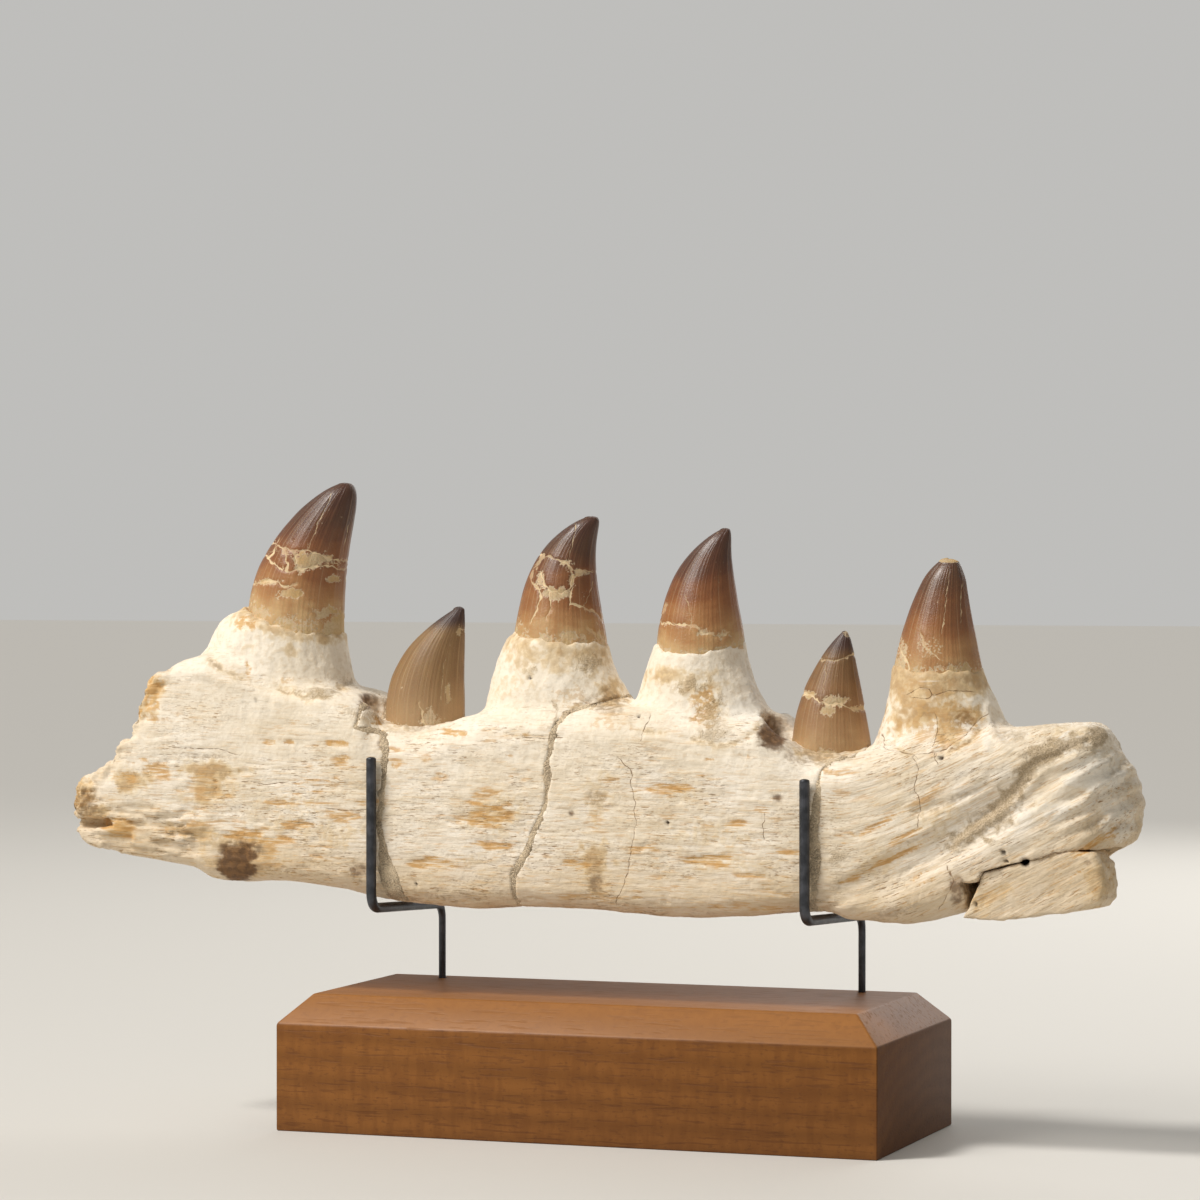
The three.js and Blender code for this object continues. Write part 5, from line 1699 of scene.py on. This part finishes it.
class FossilBlock(bpy.types.Operator):
    """Builds the bevelled wooden block with its two rod holes"""
    bl_idname = "fossil.block"
    bl_label = "Wooden block"

    def execute(self, context):
        settings = context.scene.fossil_stand
        form = bmesh.new()
        rings = []
        for inset, z in ((0, 0), (0, BLOCK["height"] - BLOCK["bevel"]), (BLOCK["bevel"], BLOCK["height"])):
            half_x, half_y = BLOCK["length"] / 2 - inset, BLOCK["width"] / 2 - inset
            rings.append([form.verts.new((x * half_x, y * half_y, z)) for x, y in SQUARE])
        form.faces.new(rings[0][::-1])
        form.faces.new(rings[-1])
        for lower, upper in zip(rings, rings[1:]):
            for i in range(4):
                form.faces.new((lower[i], lower[(i + 1) % 4], upper[(i + 1) % 4], upper[i]))
        bmesh.ops.bevel(form, geom=form.edges[:], offset=settings.edge, segments=3, profile=0.5,
                        affect="EDGES")
        piece = form_object("wooden_block", form)
        drills = []
        for side, hook in HOOKS.items():
            drills.append(drill("Drill " + side, (hook["x"], hook["post_y"], BLOCK["height"])))
            cut = piece.modifiers.new("Hole " + side, "BOOLEAN")
            cut.operation, cut.object, cut.solver = "DIFFERENCE", drills[-1], "EXACT"
        context.view_layer.update()
        whole = bpy.data.meshes.new_from_object(piece.evaluated_get(context.evaluated_depsgraph_get()))
        piece.modifiers.clear()
        piece.data = whole
        for cutter in drills:
            bpy.data.objects.remove(cutter)
        whole.materials.clear()
        whole.materials.append(shared_material("Block wood"))
        whole.set_sharp_from_angle(angle=math.radians(SHARP_ANGLE))
        on_the_frame(piece, WOOD_SLOT, "stand_block")
        return {"FINISHED"}


def rounded_path(corners, radius):
    """A path through corners, each eased with a curve that starts one radius away."""
    corners = [Vector(corner) for corner in corners]
    path = [corners[0]]
    for before, corner, after in zip(corners, corners[1:], corners[2:]):
        start = corner + (before - corner).normalized() * radius
        end = corner + (after - corner).normalized() * radius
        for step in range(BEND_STEPS + 1):
            t = step / BEND_STEPS
            path.append(start.lerp(corner, t).lerp(corner.lerp(end, t), t))
    path.append(corners[-1])
    return path


def path_curve(name, path):
    """A curve of straight steps along a path."""
    curve = bpy.data.curves.new(name, "CURVE")
    curve.dimensions = "3D"
    spline = curve.splines.new("POLY")
    spline.points.add(len(path) - 1)
    for point, place in zip(spline.points, path):
        point.co = (*place, 1)
    return curve


class FossilHooks(bpy.types.Operator):
    """Bends the two steel hooks and sets the two back prongs"""
    bl_idname = "fossil.hooks"
    bl_label = "Steel hooks"

    def execute(self, context):
        settings = context.scene.fossil_stand
        tree, keys = rod_tree()
        values = {
            keys["Radius"]: settings.rod_radius, keys["Dome"]: settings.dome, keys["Swelling"]: BEND_RADIUS,
            keys["Material"]: shared_material("Hook steel"),
        }
        crest = settings.rod_radius * settings.dome
        for side, hook in HOOKS.items():
            x, prong_y, post_y = hook["x"], hook["prong_y"], hook["post_y"]
            foot = BLOCK["height"] - SOCKET["depth"] + POST_GAP
            share = (BACK_PRONG["y"] - prong_y) / (post_y - prong_y)
            middle = hook["front_z"] + share * (hook["back_z"] - hook["front_z"])
            bent = rounded_path([
                (x, post_y, foot), (x, post_y, hook["back_z"]), (x, prong_y, hook["front_z"]),
                (x, prong_y, hook["tip_z"] - crest),
            ], BEND_RADIUS)
            prong = [Vector((x, BACK_PRONG["y"], z)) for z in (middle, BACK_PRONG["top_z"] - crest)]
            post = hook["back_z"] - foot
            for label, path, post_share, node_name in (
                    ("hook", bent, settings.post_radius / settings.rod_radius, "stand_hook_"),
                    ("back_prong", prong, 1.0, "stand_back_prong_")):
                name = f"{label}_{side}"
                values[keys["Post Share"]], values[keys["Post Length"]] = post_share, post
                piece = baked(name, path_curve(name, path), tree, values)
                on_the_frame(piece, STEEL_SLOT, node_name + side)
        return {"FINISHED"}


# Where the round lamps point, in metres, and how wide the main light looks, in degrees
TARGET = Vector((0, 0, 0.12))
SUN_SPREAD = 12
# Place in metres, turn in degrees, lens and sensor in millimetres
CAMERA = dict(place=(0.5208, -1.4583, 0.2095), turn=(89.478, 0.0, 19.868), lens=125.622, sensor=36.0)


def light(name, kind, place, towards, colour, **settings):
    """A lamp at a place, which shines along a direction."""
    data = bpy.data.lights.new(name, kind)
    data.color = colour
    for key, value in settings.items():
        setattr(data, key, value)
    lamp = new_object(name, data)
    lamp.location = place
    lamp.rotation_euler = towards.to_track_quat("-Z", "Y").to_euler()


def disk_light(name, place, size, power, colour):
    """A round lamp at a place, turned to the middle of the fossil."""
    towards = TARGET - Vector(place)
    light(name, "AREA", place, towards, colour, shape="DISK", size=size, energy=power)


class FossilStage(bpy.types.Operator):
    """Lays the pale floor and sets the lights, the surround and the camera"""
    bl_idname = "fossil.stage"
    bl_label = "Stage"

    def execute(self, context):
        settings, scene = context.scene.fossil_stage, context.scene
        half = settings.floor
        mesh = bpy.data.meshes.new("Floor")
        mesh.from_pydata([(x * half, y * half, 0) for x, y in SQUARE], [], [(0, 1, 2, 3)])
        mesh.materials.append(floor_material())
        floor = new_object("floor", mesh)
        light("Main light", "SUN", (0, 0, 0), Vector((0.44, 0.36, -0.82)), (1.0, 0.975, 0.94),
              energy=settings.sun, angle=math.radians(SUN_SPREAD))
        disk_light("Key light", (-0.75, -0.95, 1.05), 0.6, settings.key, (1.0, 0.96, 0.91))
        disk_light("Back light", (0.2, 1.3, 0.9), 1.4, settings.back, (1.0, 0.98, 0.95))
        world = bpy.data.worlds.new("Surround")
        world.use_nodes = True
        tree = world.node_tree
        seen = add_node(tree, "ShaderNodeLightPath").outputs["Is Camera Ray"]
        strength = reach(tree, seen, 0.0, 1.0, settings.sky, settings.backdrop)
        fill(tree, tree.nodes["Background"], {"Color": paint(236, 235, 232), "Strength": strength})
        scene.world = world
        scene.view_settings.view_transform = "Standard"
        lens = bpy.data.cameras.new("Camera")
        lens.lens, lens.sensor_width = CAMERA["lens"], CAMERA["sensor"]
        lens.clip_end = 100
        camera = new_object("Camera", lens)
        camera.location = CAMERA["place"]
        camera.rotation_euler = [math.radians(angle) for angle in CAMERA["turn"]]
        scene.camera = camera
        return {"FINISHED"}


class FossilPanel(bpy.types.Panel):
    """Lists the operators and their settings"""
    bl_idname = "VIEW3D_PT_fossil"
    bl_label = "Mosasaur jaw fossil"
    bl_space_type = "VIEW_3D"
    bl_region_type = "UI"
    bl_category = "Fossil"

    def draw(self, context):
        for operator in OPERATORS:
            self.layout.operator(operator.bl_idname)
        for name, group in SETTINGS.items():
            box = self.layout.box()
            for key in group.__annotations__:
                box.prop(getattr(context.scene, name), key)


OPERATORS = [
    FossilBoneSections, FossilSplinter, FossilFiller, FossilCrowns, FossilSand, FossilBlock, FossilHooks,
    FossilStage,
]


def register():
    """Registers the classes and puts the settings on the scene."""
    for group in (*SETTINGS.values(), *OPERATORS, FossilPanel):
        bpy.utils.register_class(group)
    for name, group in SETTINGS.items():
        setattr(bpy.types.Scene, name, bpy.props.PointerProperty(type=group))


def unregister():
    """Takes away what register added."""
    for name in SETTINGS:
        delattr(bpy.types.Scene, name)
    for group in (FossilPanel, *reversed(OPERATORS), *SETTINGS.values()):
        bpy.utils.unregister_class(group)


def main():
    """Builds every piece and the stage."""
    register()
    for operator in OPERATORS:
        family, name = operator.bl_idname.split(".")
        getattr(getattr(bpy.ops, family), name)()


if __name__ == "__main__":
    main()
